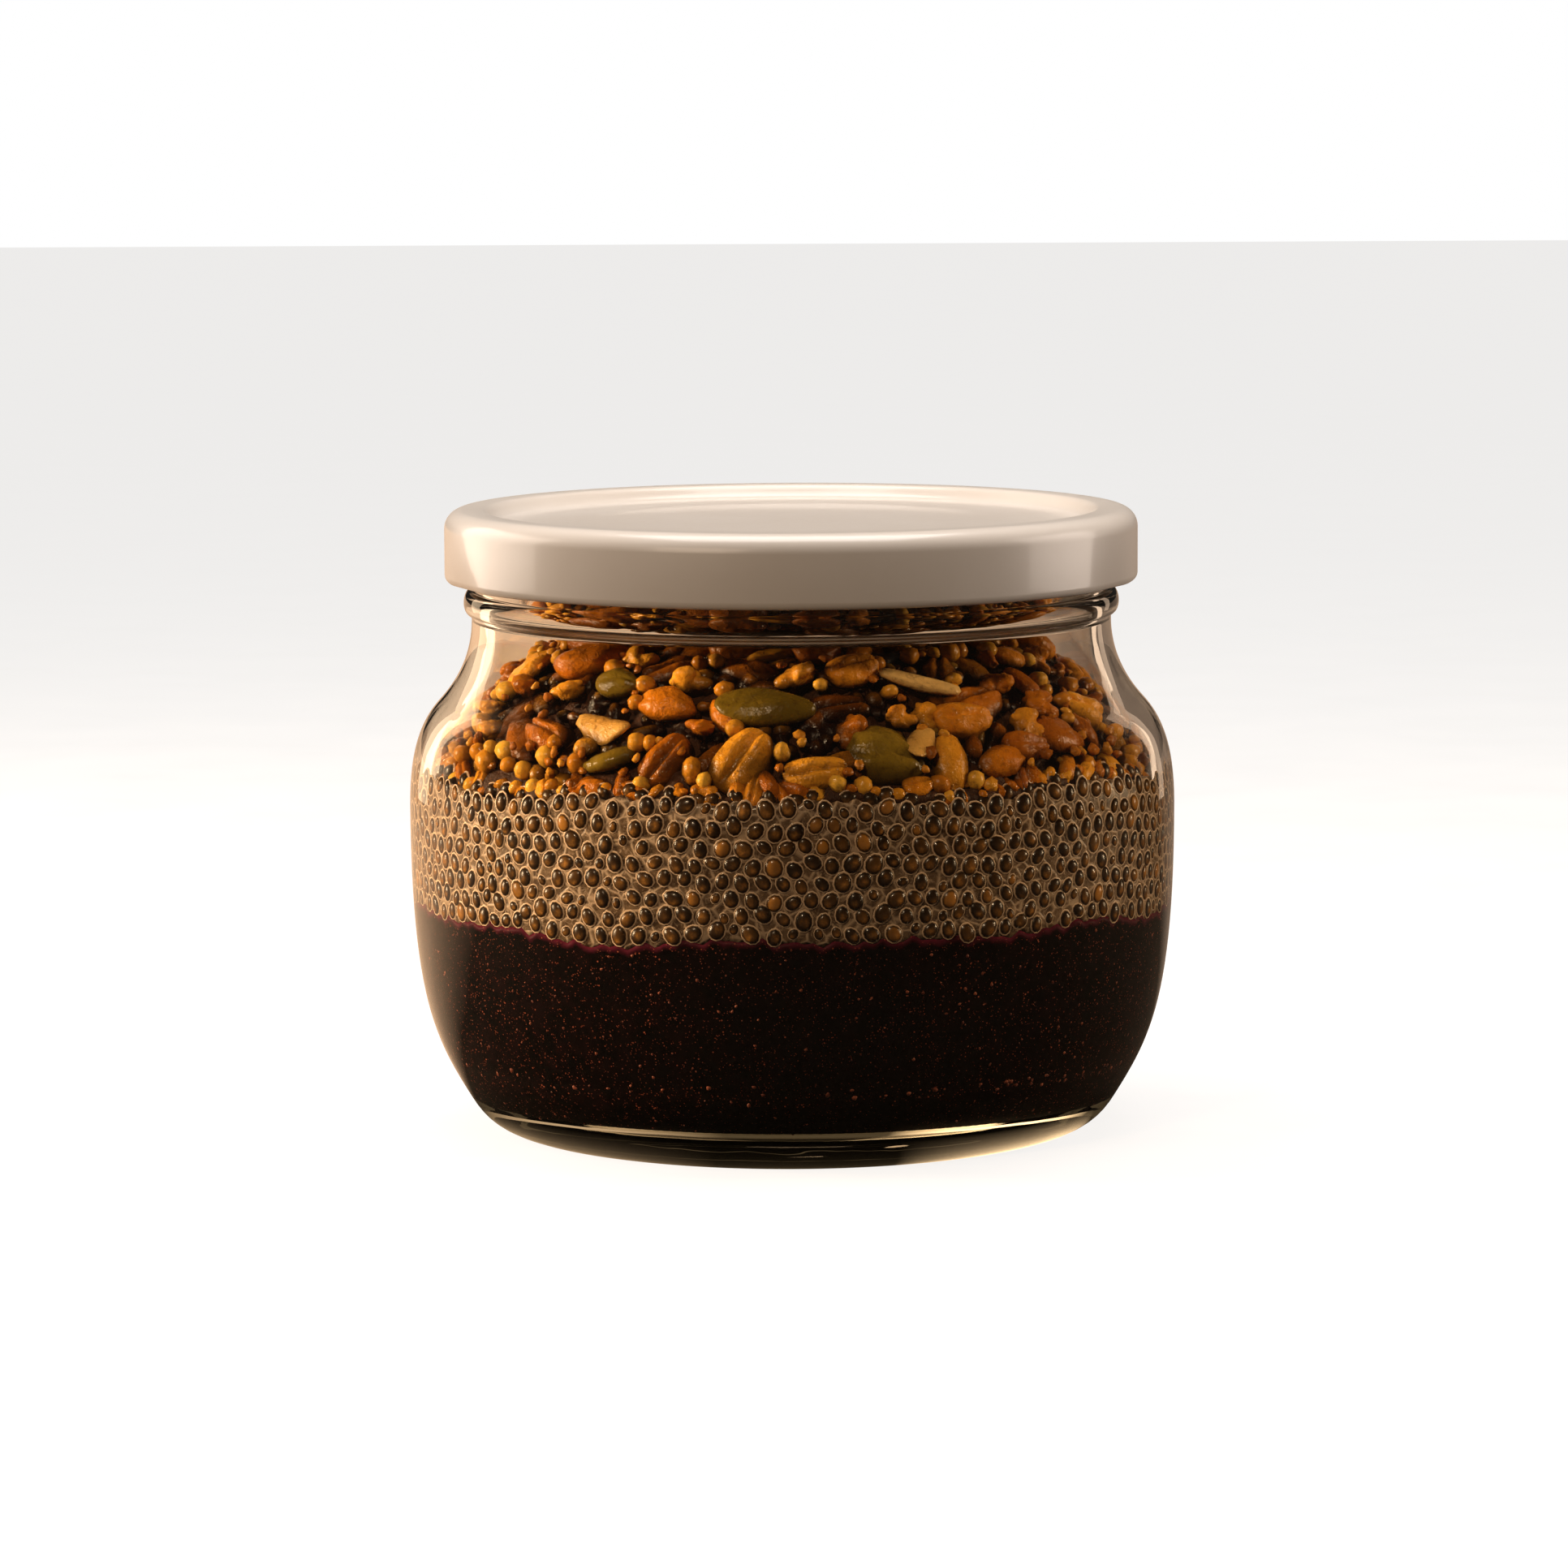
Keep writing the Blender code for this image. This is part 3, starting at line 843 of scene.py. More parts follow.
def wall_spot(shape: JarShape, bite: float, angle: float, height: float, turn: float,
              size: tuple[float, float, float], shade: float) -> Spot:
    """Makes a spot on the inside of the glass, its local Z facing outwards.

    Args:
        shape: The jar's profile.
        bite: How far the filling reaches into the glass.
        angle: The bearing.
        height: The height.
        turn: The turn about the outward direction.
        size: The scale along each local axis.
        shade: The spot's own shade, 0 to 1.

    Returns:
        The spot.
    """
    radius = float(shape.inner_radius(height)) + bite
    slope = float(shape.inner_radius(height + 0.5) - shape.inner_radius(height - 0.5))
    radial = Vector((math.sin(angle), -math.cos(angle), 0.0))
    out = (radial - Vector((0.0, 0.0, slope))).normalized()
    side = Vector((math.cos(angle), math.sin(angle), 0.0))
    axes = Matrix((side, out.cross(side), out)).transposed() @ Matrix.Rotation(turn, 3, "Z")
    place = radial * radius + Vector((0.0, 0.0, height))
    return Spot(tuple(place), axes, size, shade)


class Scatterer:
    """A Geometry Nodes tree that sets one shape on every point of a mesh."""

    def __init__(self) -> None:
        """Builds the tree once; its inputs are set on each modifier."""
        self.tree = bpy.data.node_groups.new("set_pieces", "GeometryNodeTree")
        face = self.tree.interface
        face.new_socket("Points", in_out="INPUT", socket_type="NodeSocketGeometry")
        self.shape_id = face.new_socket("Shape", in_out="INPUT", socket_type="NodeSocketObject").identifier
        self.scale_id = face.new_socket("Scale", in_out="INPUT", socket_type="NodeSocketFloat").identifier
        self.skin_id = face.new_socket("Skin", in_out="INPUT", socket_type="NodeSocketMaterial").identifier
        face.new_socket("Pieces", in_out="OUTPUT", socket_type="NodeSocketGeometry")
        self.build()

    def add(self, kind: str, settings: dict, links: dict) -> bpy.types.Node:
        """Adds a node.

        Args:
            kind: Its type.
            settings: Its own settings.
            links: The output or the value of each of its inputs.

        Returns:
            The node.
        """
        made = self.tree.nodes.new(kind)
        for key, value in settings.items():
            setattr(made, key, value)
        for key, value in links.items():
            if isinstance(value, bpy.types.NodeSocket):
                self.tree.links.new(value, made.inputs[key])
            else:
                made.inputs[key].default_value = value
        return made

    def build(self) -> None:
        """Lays out the tree."""
        given = self.add("NodeGroupInput", {}, {}).outputs
        shape = self.add("GeometryNodeObjectInfo", {}, {"Object": given["Shape"]})
        vector = {"data_type": "FLOAT_VECTOR"}
        turn = self.add("GeometryNodeInputNamedAttribute", vector, {"Name": "turn"})
        spin = self.add("FunctionNodeEulerToRotation", {}, {0: turn.outputs["Attribute"]})
        size = self.add("GeometryNodeInputNamedAttribute", vector, {"Name": "size"})
        sized = self.add("ShaderNodeVectorMath", {"operation": "SCALE"},
                         {0: size.outputs["Attribute"], "Scale": given["Scale"]})
        pieces = self.add("GeometryNodeInstanceOnPoints", {}, {
            "Points": given["Points"], "Instance": shape.outputs["Geometry"],
            "Rotation": spin.outputs[0], "Scale": sized.outputs[0]})
        real = self.add("GeometryNodeRealizeInstances", {}, {"Geometry": pieces.outputs[0]})
        skinned = self.add("GeometryNodeSetMaterial", {}, {
            "Geometry": real.outputs[0], "Material": given["Skin"]})
        self.add("NodeGroupOutput", {}, {"Pieces": skinned.outputs[0]})

    def mesh(self, name: str, spots: list[Spot], shape: bpy.types.Mesh,
             skin: bpy.types.Material) -> bpy.types.Mesh:
        """Sets a shape on every spot.

        Args:
            name: The new mesh's name.
            spots: Where the pieces go.
            shape: One piece, in metres.
            skin: Its material.

        Returns:
            All the pieces as one plain mesh.
        """
        points = bpy.data.meshes.new(name)
        points.from_pydata([tuple(c * MM for c in spot.place) for spot in spots], [], [])
        set_values(points, "turn", np.array([spot.axes.to_euler() for spot in spots]))
        set_values(points, "size", np.array([spot.size for spot in spots]))
        set_values(points, "shade", np.array([spot.shade for spot in spots]))
        source = bpy.data.objects.new(name + "_shape", shape)
        carrier = bpy.data.objects.new(name, points)
        bpy.context.scene.collection.objects.link(source)
        bpy.context.scene.collection.objects.link(carrier)
        modifier = carrier.modifiers.new("set_pieces", "NODES")
        modifier.node_group = self.tree
        modifier[self.shape_id] = source
        modifier[self.scale_id] = 1.0
        modifier[self.skin_id] = skin
        graph = bpy.context.evaluated_depsgraph_get()
        made = bpy.data.meshes.new_from_object(carrier.evaluated_get(graph))
        carrier.modifiers.remove(modifier)
        bpy.data.objects.remove(carrier)
        bpy.data.objects.remove(source)
        made.shade_smooth()
        return made


def scatter(name: str, spots: list[Spot], shape: bpy.types.Mesh, skin: bpy.types.Material,
            slot: str, node: str) -> bpy.types.Object:
    """Scatters a shape and puts the result in the scene as one piece.

    Args:
        name: The piece's name.
        spots: Where each copy goes.
        shape: The shape.
        skin: Its material.
        slot: The record's material slot.
        node: The CAD node that it stands for.

    Returns:
        The piece.
    """
    return placed(name, Scatterer().mesh(name, spots, shape, skin), slot, node)


def unit_grid(rows: int, columns: int, crowd: float = 0.0) -> tuple[np.ndarray, ...]:
    """Returns x, y, z of a unit ball's points, with its poles at the ends of X.

    Args:
        rows: Points from pole to pole.
        columns: Points round the middle.
        crowd: How far the columns crowd towards the top and the bottom, up to 0.4.

    Returns:
        Three arrays of (row, column).
    """
    lean = np.linspace(0.0, math.pi, rows)[:, None]
    turn = (np.arange(columns) * math.tau / columns)[None]
    turn = turn + crowd * np.sin(2.0 * turn)
    x = -np.cos(lean) * np.ones_like(turn)
    return x, np.sin(lean) * np.cos(turn), np.sin(lean) * np.sin(turn)


def rough(rows: np.ndarray, size: float, tallness: float, seed: float) -> np.ndarray:
    """Pushes points in and out from the middle by smooth noise.

    Args:
        rows: Points as (row, column, xyz).
        size: The width of one bump.
        tallness: How far the bumps rise.
        seed: Where in the noise to look.

    Returns:
        The moved points.
    """
    flat = rows.reshape(-1, 3)
    shift = [noise.noise(Vector(p) / size + Vector((seed, seed * 2.0, 0.0))) for p in flat]
    away = flat / np.maximum(np.linalg.norm(flat, axis=1), 1e-6)[:, None]
    return (flat + away * np.array(shift)[:, None] * tallness).reshape(rows.shape)


class Shapes:
    """The meshes of the small pieces, each at its true size."""

    @staticmethod
    def pip() -> bpy.types.Mesh:
        """Makes a pip of the fruit, one millimetre long."""
        x, y, z = unit_grid(5, 8)
        return closed_mesh("pip", np.stack([x * 0.5, y * 0.5 * (1.0 - 0.3 * x), z * 0.5], -1))

    @staticmethod
    def chia_seed() -> bpy.types.Mesh:
        """Makes a soaked seed, two millimetres long, in its ring of gel."""
        line = np.array([(0.0, -0.45), (1.26, -0.03), (1.19, 0.13), (1.12, 0.07), (1.05, 0.14),
                         (0.90, 0.36), (0.62, 0.51), (0.30, 0.59), (0.0, 0.61)])
        angle = (np.arange(11) * math.tau / 11)[None]
        radius = line[:, :1]
        grid = np.stack([radius * np.cos(angle) * (1.0 + 0.06 * np.cos(angle)),
                         radius * np.sin(angle) * 0.84,
                         line[:, 1:] * np.ones_like(angle)], -1)
        mesh = closed_mesh("chia_seed", grid)
        places = corners(mesh)
        bearing = np.arctan2(places[:, 1] / 0.84, places[:, 0])
        long = places[:, 0] / (1.0 + 0.06 * np.cos(bearing))
        reach = np.hypot(long, places[:, 1] / 0.84)
        set_values(mesh, "zone", np.clip(reach / 1.26, 0.0, 1.0))
        return mesh

    @staticmethod
    def pumpkin_seed() -> bpy.types.Mesh:
        """Makes a plump seed with a blunt end, a pointed end and a fold."""
        x, y, z = unit_grid(17, 26, 0.2)
        width = 3.3 * (1.0 - 0.24 * x - 0.10 * x * x)
        edge = np.clip(np.hypot(x, y), 0.0, 1.0)
        groove = 0.22 * np.exp(-((edge - 0.84) / 0.08) ** 2) * (edge < 0.97)
        fold = 0.42 * np.exp(-((y - 0.18 * np.sin(2.6 * x)) / 0.11) ** 2) * (np.abs(x) < 0.8)
        height = np.sign(z) * np.abs(z) ** 0.8 * 1.75 - np.where(z > 0, groove + fold, 0.0)
        grid = np.stack([x * 5.6, y * width, height + 0.2 * x * x], -1)
        return closed_mesh("pumpkin_seed", rough(grid, 2.2, 0.2, 1.7))

    @staticmethod
    def kernel() -> bpy.types.Mesh:
        """Makes a plump kernel with a crease, a smaller fold and a swollen side."""
        x, y, z = unit_grid(17, 24, 0.28)
        long = np.sqrt(np.clip(1.0 - x * x, 0.0, 1.0))
        y, z = (side * np.maximum(long, 1e-6) ** -0.3 for side in (y, z))
        crease = 0.95 * np.exp(-((y - 0.10 * np.sin(2.2 * x)) / 0.13) ** 2)
        fold = 0.38 * np.exp(-((y + 0.52) / 0.12) ** 2)
        swell = 0.30 * np.exp(-((y - 0.45) / 0.3) ** 2)
        height = z * 2.35 + (swell - crease - fold) * long * (z > 0)
        grid = np.stack([x * 4.1, y * 2.75 * (1.0 - 0.14 * x), height + 0.25 * x * x], -1)
        return closed_mesh("kernel", rough(grid, 2.2, 0.38, 4.1))

    @staticmethod
    def grain() -> bpy.types.Mesh:
        """Makes a wheat grain with a groove and lengthwise ribs."""
        x, y, z = unit_grid(11, 14)
        ribs = 1.0 + 0.06 * np.cos(7.0 * np.arctan2(z, y))
        groove = 0.5 * np.exp(-(y / 0.15) ** 2) * (z > 0)
        grid = np.stack([x * 3.3, y * 1.75 * ribs, z * 1.5 * ribs - groove], -1)
        return closed_mesh("grain", rough(grid, 1.8, 0.22, 8.4))

    @staticmethod
    def flat_seed() -> bpy.types.Mesh:
        """Makes a thin bulging seed that narrows at one end."""
        x, y, z = unit_grid(11, 18)
        wrinkle = 0.16 * np.cos(9.0 * y + 2.0 * x) * (z > 0)
        grid = np.stack([x * 3.9, y * 2.6 * (1.0 - 0.26 * x), z * 1.45 + wrinkle - 0.3 * x * x], -1)
        return closed_mesh("flat_seed", rough(grid, 1.9, 0.4, 2.6))

    @staticmethod
    def chunk() -> bpy.types.Mesh:
        """Makes a crumbly cluster of small lumps that baked together."""
        rng = np.random.default_rng(9)
        aim = np.stack(unit_grid(23, 30), -1)
        reach = np.full(aim.shape[:2], 1.65)
        for _ in range(13):
            middle = rng.normal(size=3)
            middle *= rng.uniform(1.2, 2.0) / np.linalg.norm(middle)
            along = aim @ middle
            inside = rng.uniform(0.7, 1.25) ** 2 - middle @ middle + along**2
            far = along + np.sqrt(np.clip(inside, 0.0, None))
            reach = np.maximum(reach, np.where((inside > 0.0) & (along > 0.0), far, 0.0))
        grid = aim * reach[..., None] * np.array([1.1, 0.95, 0.85])
        return closed_mesh("chunk", rough(grid, 0.9, 0.3, 9.3))

    @staticmethod
    def flake() -> bpy.types.Mesh:
        """Makes a curled oat flake."""
        x, y, z = unit_grid(13, 20)
        curl = 0.45 * (x * x - y * y) + 0.2 * x
        grid = np.stack([x * 3.2, y * 2.2, z * 0.55 + curl], -1)
        return closed_mesh("oat_flake", rough(grid, 1.1, 0.3, 3.3))

    @staticmethod
    def sliver() -> bpy.types.Mesh:
        """Makes a cut almond sliver."""
        x, y, z = unit_grid(9, 10)
        side = np.sign(y) * np.abs(y) ** 0.6 * 0.75
        top = np.sign(z) * np.abs(z) ** 0.6 * 0.55
        grid = np.stack([x * 3.6, side, top + 0.3 * x * x], -1)
        return closed_mesh("almond_sliver", rough(grid, 1.2, 0.12, 6.6))

    @staticmethod
    def puff() -> bpy.types.Mesh:
        """Makes a small puffed ball with a dimple."""
        x, y, z = unit_grid(7, 10)
        dimple = 0.25 * np.exp(-((x - 0.9) ** 2 + y * y + (z - 0.3) ** 2) / 0.15)
        ball = np.stack([x, y, z], -1) * (1.22 - dimple)[..., None]
        return closed_mesh("puffed_ball", rough(ball, 1.2, 0.22, 7.7))

    @staticmethod
    def crumb() -> bpy.types.Mesh:
        """Makes a crumb."""
        x, y, z = unit_grid(5, 7)
        return closed_mesh("crumb", rough(np.stack([x * 0.75, y * 0.6, z * 0.5], -1), 0.6, 0.4, 2.2))


@dataclass(frozen=True)
class Chia(Filling):
    """The layer of chia pudding: gel full of seeds."""

    pitch: float = 2.32
    girth: float = math.tau * 44.4
    rim_seeds: int = 96
    small_share: float = 0.13
    small_size: float = 0.62
    rounds: int = 24
    give: float = 0.36

    def build(self) -> None:
        """Makes the gel and the seeds that show at the glass."""
        angle = self.bearings()
        low = self.layers.fruit_edge(angle) + 0.02
        top = self.layers.chia_edge(angle)
        under = self.cap(low, self.layers.fruit_top + 0.1, (0.0, 0.4, 0.8))
        over = self.cap(top, self.layers.chia_top, (0.97, 0.8, 0.4, 0.0))
        mesh = closed_mesh("chia_gel", np.concatenate([under, self.wall(low, top, 30), over]))
        mesh.materials.append(GelFinish().material())
        placed("chia_gel", mesh, "chia", "chia_layer")
        spots = self.spots()
        seeds = scatter("chia_seeds", spots, Shapes.chia_seed(), SeedFinish().material(),
                        "chia", "chia_layer")
        self.paint_seed_glow(seeds.data, spots)

    @staticmethod
    def paint_seed_glow(mesh: bpy.types.Mesh, spots: list[Spot]) -> None:
        """Paints a glow of light into the part of each seed, mostly low, where light gathers.

        Args:
            mesh: All the seeds.
            spots: Their spots, in the same order.
        """
        rng = np.random.default_rng(3)
        down, across = rng.normal(0.26, 0.16, (len(spots), 1)), rng.normal(0.06, 0.2, (len(spots), 1))
        wide = rng.uniform(0.3, 0.55, (len(spots), 1))
        places = corners(mesh).reshape(len(spots), -1, 3)
        middle = np.array([spot.place for spot in spots])[:, None]
        size = np.array([spot.size[0] for spot in spots])[:, None]
        angle = np.arctan2(middle[..., 0], -middle[..., 1])
        off = places - middle
        side = (off[..., 0] * np.cos(angle) + off[..., 1] * np.sin(angle)) / size
        # painted light, placed mostly low in each seed
        glow = np.exp(-((off[..., 2] / size + down) / wide) ** 2 - ((side - across) / wide) ** 2)
        set_values(mesh, "glow", glow.ravel())

    def packed(self) -> np.ndarray:
        """Packs uneven seeds on the band of gel as if it were rolled out flat.

        Returns:
            Rows of (millimetres along the glass, share of the height, size).
        """
        rng = np.random.default_rng(11)
        tall = self.layers.chia_top - self.layers.fruit_top
        columns = round(self.girth / self.pitch)
        rows = round(tall / (self.pitch * 0.866))
        row, column = np.mgrid[0:rows, 0:columns].reshape(2, -1)
        across = (column + 0.5 * (row % 2)) * self.girth / columns
        height = (row + 0.5) * tall / rows
        across = across + rng.normal(0.0, 0.5, across.size)
        height = height + rng.normal(0.0, 0.4, height.size)
        size = np.where(rng.random(across.size) < self.small_share, self.small_size,
                        rng.uniform(0.86, 1.14, across.size))
        wanted = (size[:, None] + size[None]) * 0.5 * self.pitch
        for _ in range(self.rounds):
            dx = across[:, None] - across[None]
            dx -= self.girth * np.round(dx / self.girth)
            dz = height[:, None] - height[None]
            apart = np.hypot(dx, dz) + np.eye(across.size) * 99.0
            push = np.clip(wanted - apart, 0.0, None) * self.give / apart
            across = across + (dx * push).sum(1)
            height = np.clip(height + (dz * push).sum(1), 0.95, tall - 0.5)
        return np.stack([across, height / tall, size], 1)

    def spots(self) -> list[Spot]:
        """Returns the seeds' spots: those in the gel and a glossy row on top."""
        rng = random.Random(11)
        spots = []
        for across, share, size in self.packed():
            angle = across / self.girth * math.tau
            low = float(self.layers.fruit_edge(angle))
            top = float(self.layers.chia_edge(angle))
            spots.append(wall_spot(self.shape, self.bite, angle, low + (top - low) * share,
                                   math.pi / 2 + rng.gauss(0.0, 0.6),
                                   (size, size * rng.uniform(0.88, 1.04), size * 0.8), rng.random()))
        for index in range(self.rim_seeds):
            angle = math.tau * (index + rng.uniform(-0.3, 0.3)) / self.rim_seeds
            height = float(self.layers.chia_edge(angle)) + rng.uniform(0.1, 0.9)
            spots.append(wall_spot(self.shape, -0.75, angle, height, rng.uniform(0.0, math.pi),
                                   (0.95, 0.9, 1.1), rng.random() * 0.7))
        return spots


class Kind(Enum):
    """The kinds of granola piece."""

    PUMPKIN_SEED = "pumpkin_seed"
    KERNEL = "kernel"
    GRAIN = "grain"
    FLAT_SEED = "flat_seed"
    CHUNK = "nut_chunk"
    FLAKE = "oat_flake"
    SLIVER = "almond_sliver"
    PUFF = "puffed_ball"
    CRUMB = "crumb"


@dataclass(frozen=True)
class KindPlan:
    """How one kind of piece is made and scattered.

    reach is the radius that a piece keeps to itself, sunk is how far its
    middle lies under the heap's surface, and count is how many are tried.
    """

    shape: Callable[[], bpy.types.Mesh]
    finish: RoastFinish
    reach: float
    sunk: float
    count: int


ROASTED = {"dark": (0.19, 0.036, 0.001), "middle": (0.62, 0.19, 0.006), "light": (0.96, 0.43, 0.032)}

PLANS: dict[Kind, KindPlan] = {
    Kind.PUMPKIN_SEED: KindPlan(Shapes.pumpkin_seed, RoastFinish(
        (0.060, 0.036, 0.004), (0.17, 0.108, 0.009), (0.36, 0.23, 0.022),
        spot=(0.05, 0.02, 0.003), relief=0.22), 3.4, 0.7, 11),
    Kind.KERNEL: KindPlan(Shapes.kernel, RoastFinish(**ROASTED), 2.9, 1.1, 50),
    Kind.CHUNK: KindPlan(Shapes.chunk, RoastFinish(
        (0.17, 0.034, 0.0015), (0.58, 0.18, 0.006), (0.94, 0.42, 0.03),
        grain=800.0, relief=0.5), 2.3, 1.2, 130),
    Kind.FLAT_SEED: KindPlan(Shapes.flat_seed, RoastFinish(**ROASTED), 2.5, 0.7, 40),
    Kind.GRAIN: KindPlan(Shapes.grain, RoastFinish(**ROASTED), 2.0, 0.9, 40),
    Kind.FLAKE: KindPlan(Shapes.flake, RoastFinish(
        (0.34, 0.12, 0.014), (0.62, 0.28, 0.045), (0.82, 0.47, 0.12)), 2.0, 0.6, 30),
    Kind.SLIVER: KindPlan(Shapes.sliver, RoastFinish(
        (0.60, 0.30, 0.06), (0.76, 0.44, 0.12), (0.88, 0.60, 0.24)), 1.5, 0.4, 16),
    Kind.PUFF: KindPlan(Shapes.puff, RoastFinish(
        (0.38, 0.10, 0.005), (0.70, 0.29, 0.018), (0.90, 0.50, 0.06), relief=0.2), 1.1, 0.7, 620),
    Kind.CRUMB: KindPlan(Shapes.crumb, RoastFinish(
        (0.14, 0.030, 0.002), (0.48, 0.15, 0.008), (0.84, 0.40, 0.035)), 0.6, 0.5, 900),
}

# Larger pieces in front: kind, x, height, turn in degrees, size, shade.
FRONT = (
    (Kind.PUMPKIN_SEED, -3.1, 55.4, -4, (1.06, 0.95, 1.1), 0.25),
    (Kind.PUMPKIN_SEED, 11.4, 49.6, -20, (0.86, 1.06, 1.35), 0.62),
    (Kind.KERNEL, 2.9, 48.3, 6, (0.93, 0.75, 0.8), 0.85),
    (Kind.GRAIN, 18.9, 48.9, 84, (1.05, 1.25, 1.2), 0.8),
    (Kind.KERNEL, -6.0, 49.0, 50, (1.02, 1.22, 1.15), 0.8),
    (Kind.KERNEL, -15.3, 49.2, 50, (0.86, 0.92, 1.1), 0.12),
    (Kind.KERNEL, 20.0, 53.3, -8, (0.9, 0.9, 0.9), 0.55),
    (Kind.KERNEL, 7.2, 59.6, 15, (0.78, 0.85, 0.85), 0.6),
    (Kind.FLAT_SEED, -14.5, 55.6, -12, (0.98, 0.98, 1.3), 0.35),
    (Kind.FLAT_SEED, 31.6, 50.7, -25, (0.95, 0.9, 1.0), 0.1),
    (Kind.FLAKE, -22.0, 52.7, -12, (1.3, 0.95, 1.5), 0.7),
    (Kind.SLIVER, 14.9, 57.6, -25, (1.4, 1.5, 1.2), 0.7),
    (Kind.CHUNK, -26.3, 56.3, 40, (0.95, 0.85, 0.9), 0.75),
    (Kind.CHUNK, -31.7, 55.8, 40, (0.7, 0.7, 0.7), 0.0),
    (Kind.PUMPKIN_SEED, -20.3, 57.4, -5, (0.55, 0.66, 0.9), 0.3),
    (Kind.KERNEL, 28.0, 49.8, -12, (0.75, 0.6, 0.7), 0.1),
    (Kind.CHUNK, 24.6, 57.0, 30, (0.9, 0.9, 0.9), 0.4),
    (Kind.CHUNK, -36.4, 50.6, 0, (0.75, 0.75, 0.75), 0.85),
    (Kind.CHUNK, -10.4, 53.0, 0, (0.75, 0.6, 0.7), 0.25),
)


@dataclass(frozen=True)
class Heap:
    """The granola heap's smooth surface.

    Painted shade darkens what lies from one depth under it, standing for the shade in
    the gaps, and painted shadow of the lid darkens from one height, each over a
    length of its own.
    """

    profile: tuple = ((43.6, 46.6), (42.9, 48.6), (42.0, 49.9), (38.5, 53.0), (35.0, 56.0),
                      (31.0, 59.6), (25.0, 62.4), (14.0, 64.3), (0.0, 65.0))
    steepest: float = -4.0
    painted_shade_from: float = 0.4
    painted_shade_over: float = 1.6
    shade_from: float = 58.5
    shade_over: float = 7.0
    shade_most: float = 0.7

    def height(self, radius: float | np.ndarray) -> float | np.ndarray:
        """Returns the height at a radius."""
        line = self.profile[::-1]
        return np.interp(radius, [p[0] for p in line], [p[1] for p in line])

    def radius(self, height: float) -> float:
        """Returns the radius at a height."""
        return float(np.interp(height, [p[1] for p in self.profile], [p[0] for p in self.profile]))

    def depth(self, places: np.ndarray) -> np.ndarray:
        """Returns how dark painted shade in the gaps and painted shadow under the lid make places in the
        heap.

        Args:
            places: The places.

        Returns:
            From 0 near the surface to 1 in a gap, and more than 0 under the lid.
        """
        radius = np.hypot(places[:, 0], places[:, 1])
        reach = np.interp(places[:, 2], [p[1] for p in self.profile], [p[0] for p in self.profile])
        # painted shade grows with depth under the surface, and painted shadow of the lid with height
        under = np.minimum(reach - radius, self.height(radius) - places[:, 2])
        shaded = np.clip((places[:, 2] - self.shade_from) / self.shade_over, 0.0, self.shade_most)
        return np.clip(np.maximum((under - self.painted_shade_from) / self.painted_shade_over, shaded), 0.0, 1.0)

    def frame(self, radius: float, angle: float) -> Matrix:
        """Returns the axes on the slope at a place.

        Args:
            radius: Distance from the axis.
            angle: The bearing.

        Returns:
            The directions sideways, up the slope and outwards, as columns.
        """
        slope = float(self.height(radius + 1.0) - self.height(max(radius - 1.0, 0.0))) / 2.0
        slope = max(slope, self.steepest)
        radial = Vector((math.sin(angle), -math.cos(angle), 0.0))
        out = (Vector((0.0, 0.0, 1.0)) - radial * slope).normalized()
        side = Vector((math.cos(angle), math.sin(angle), 0.0))
        return Matrix((side, out.cross(side), out)).transposed()


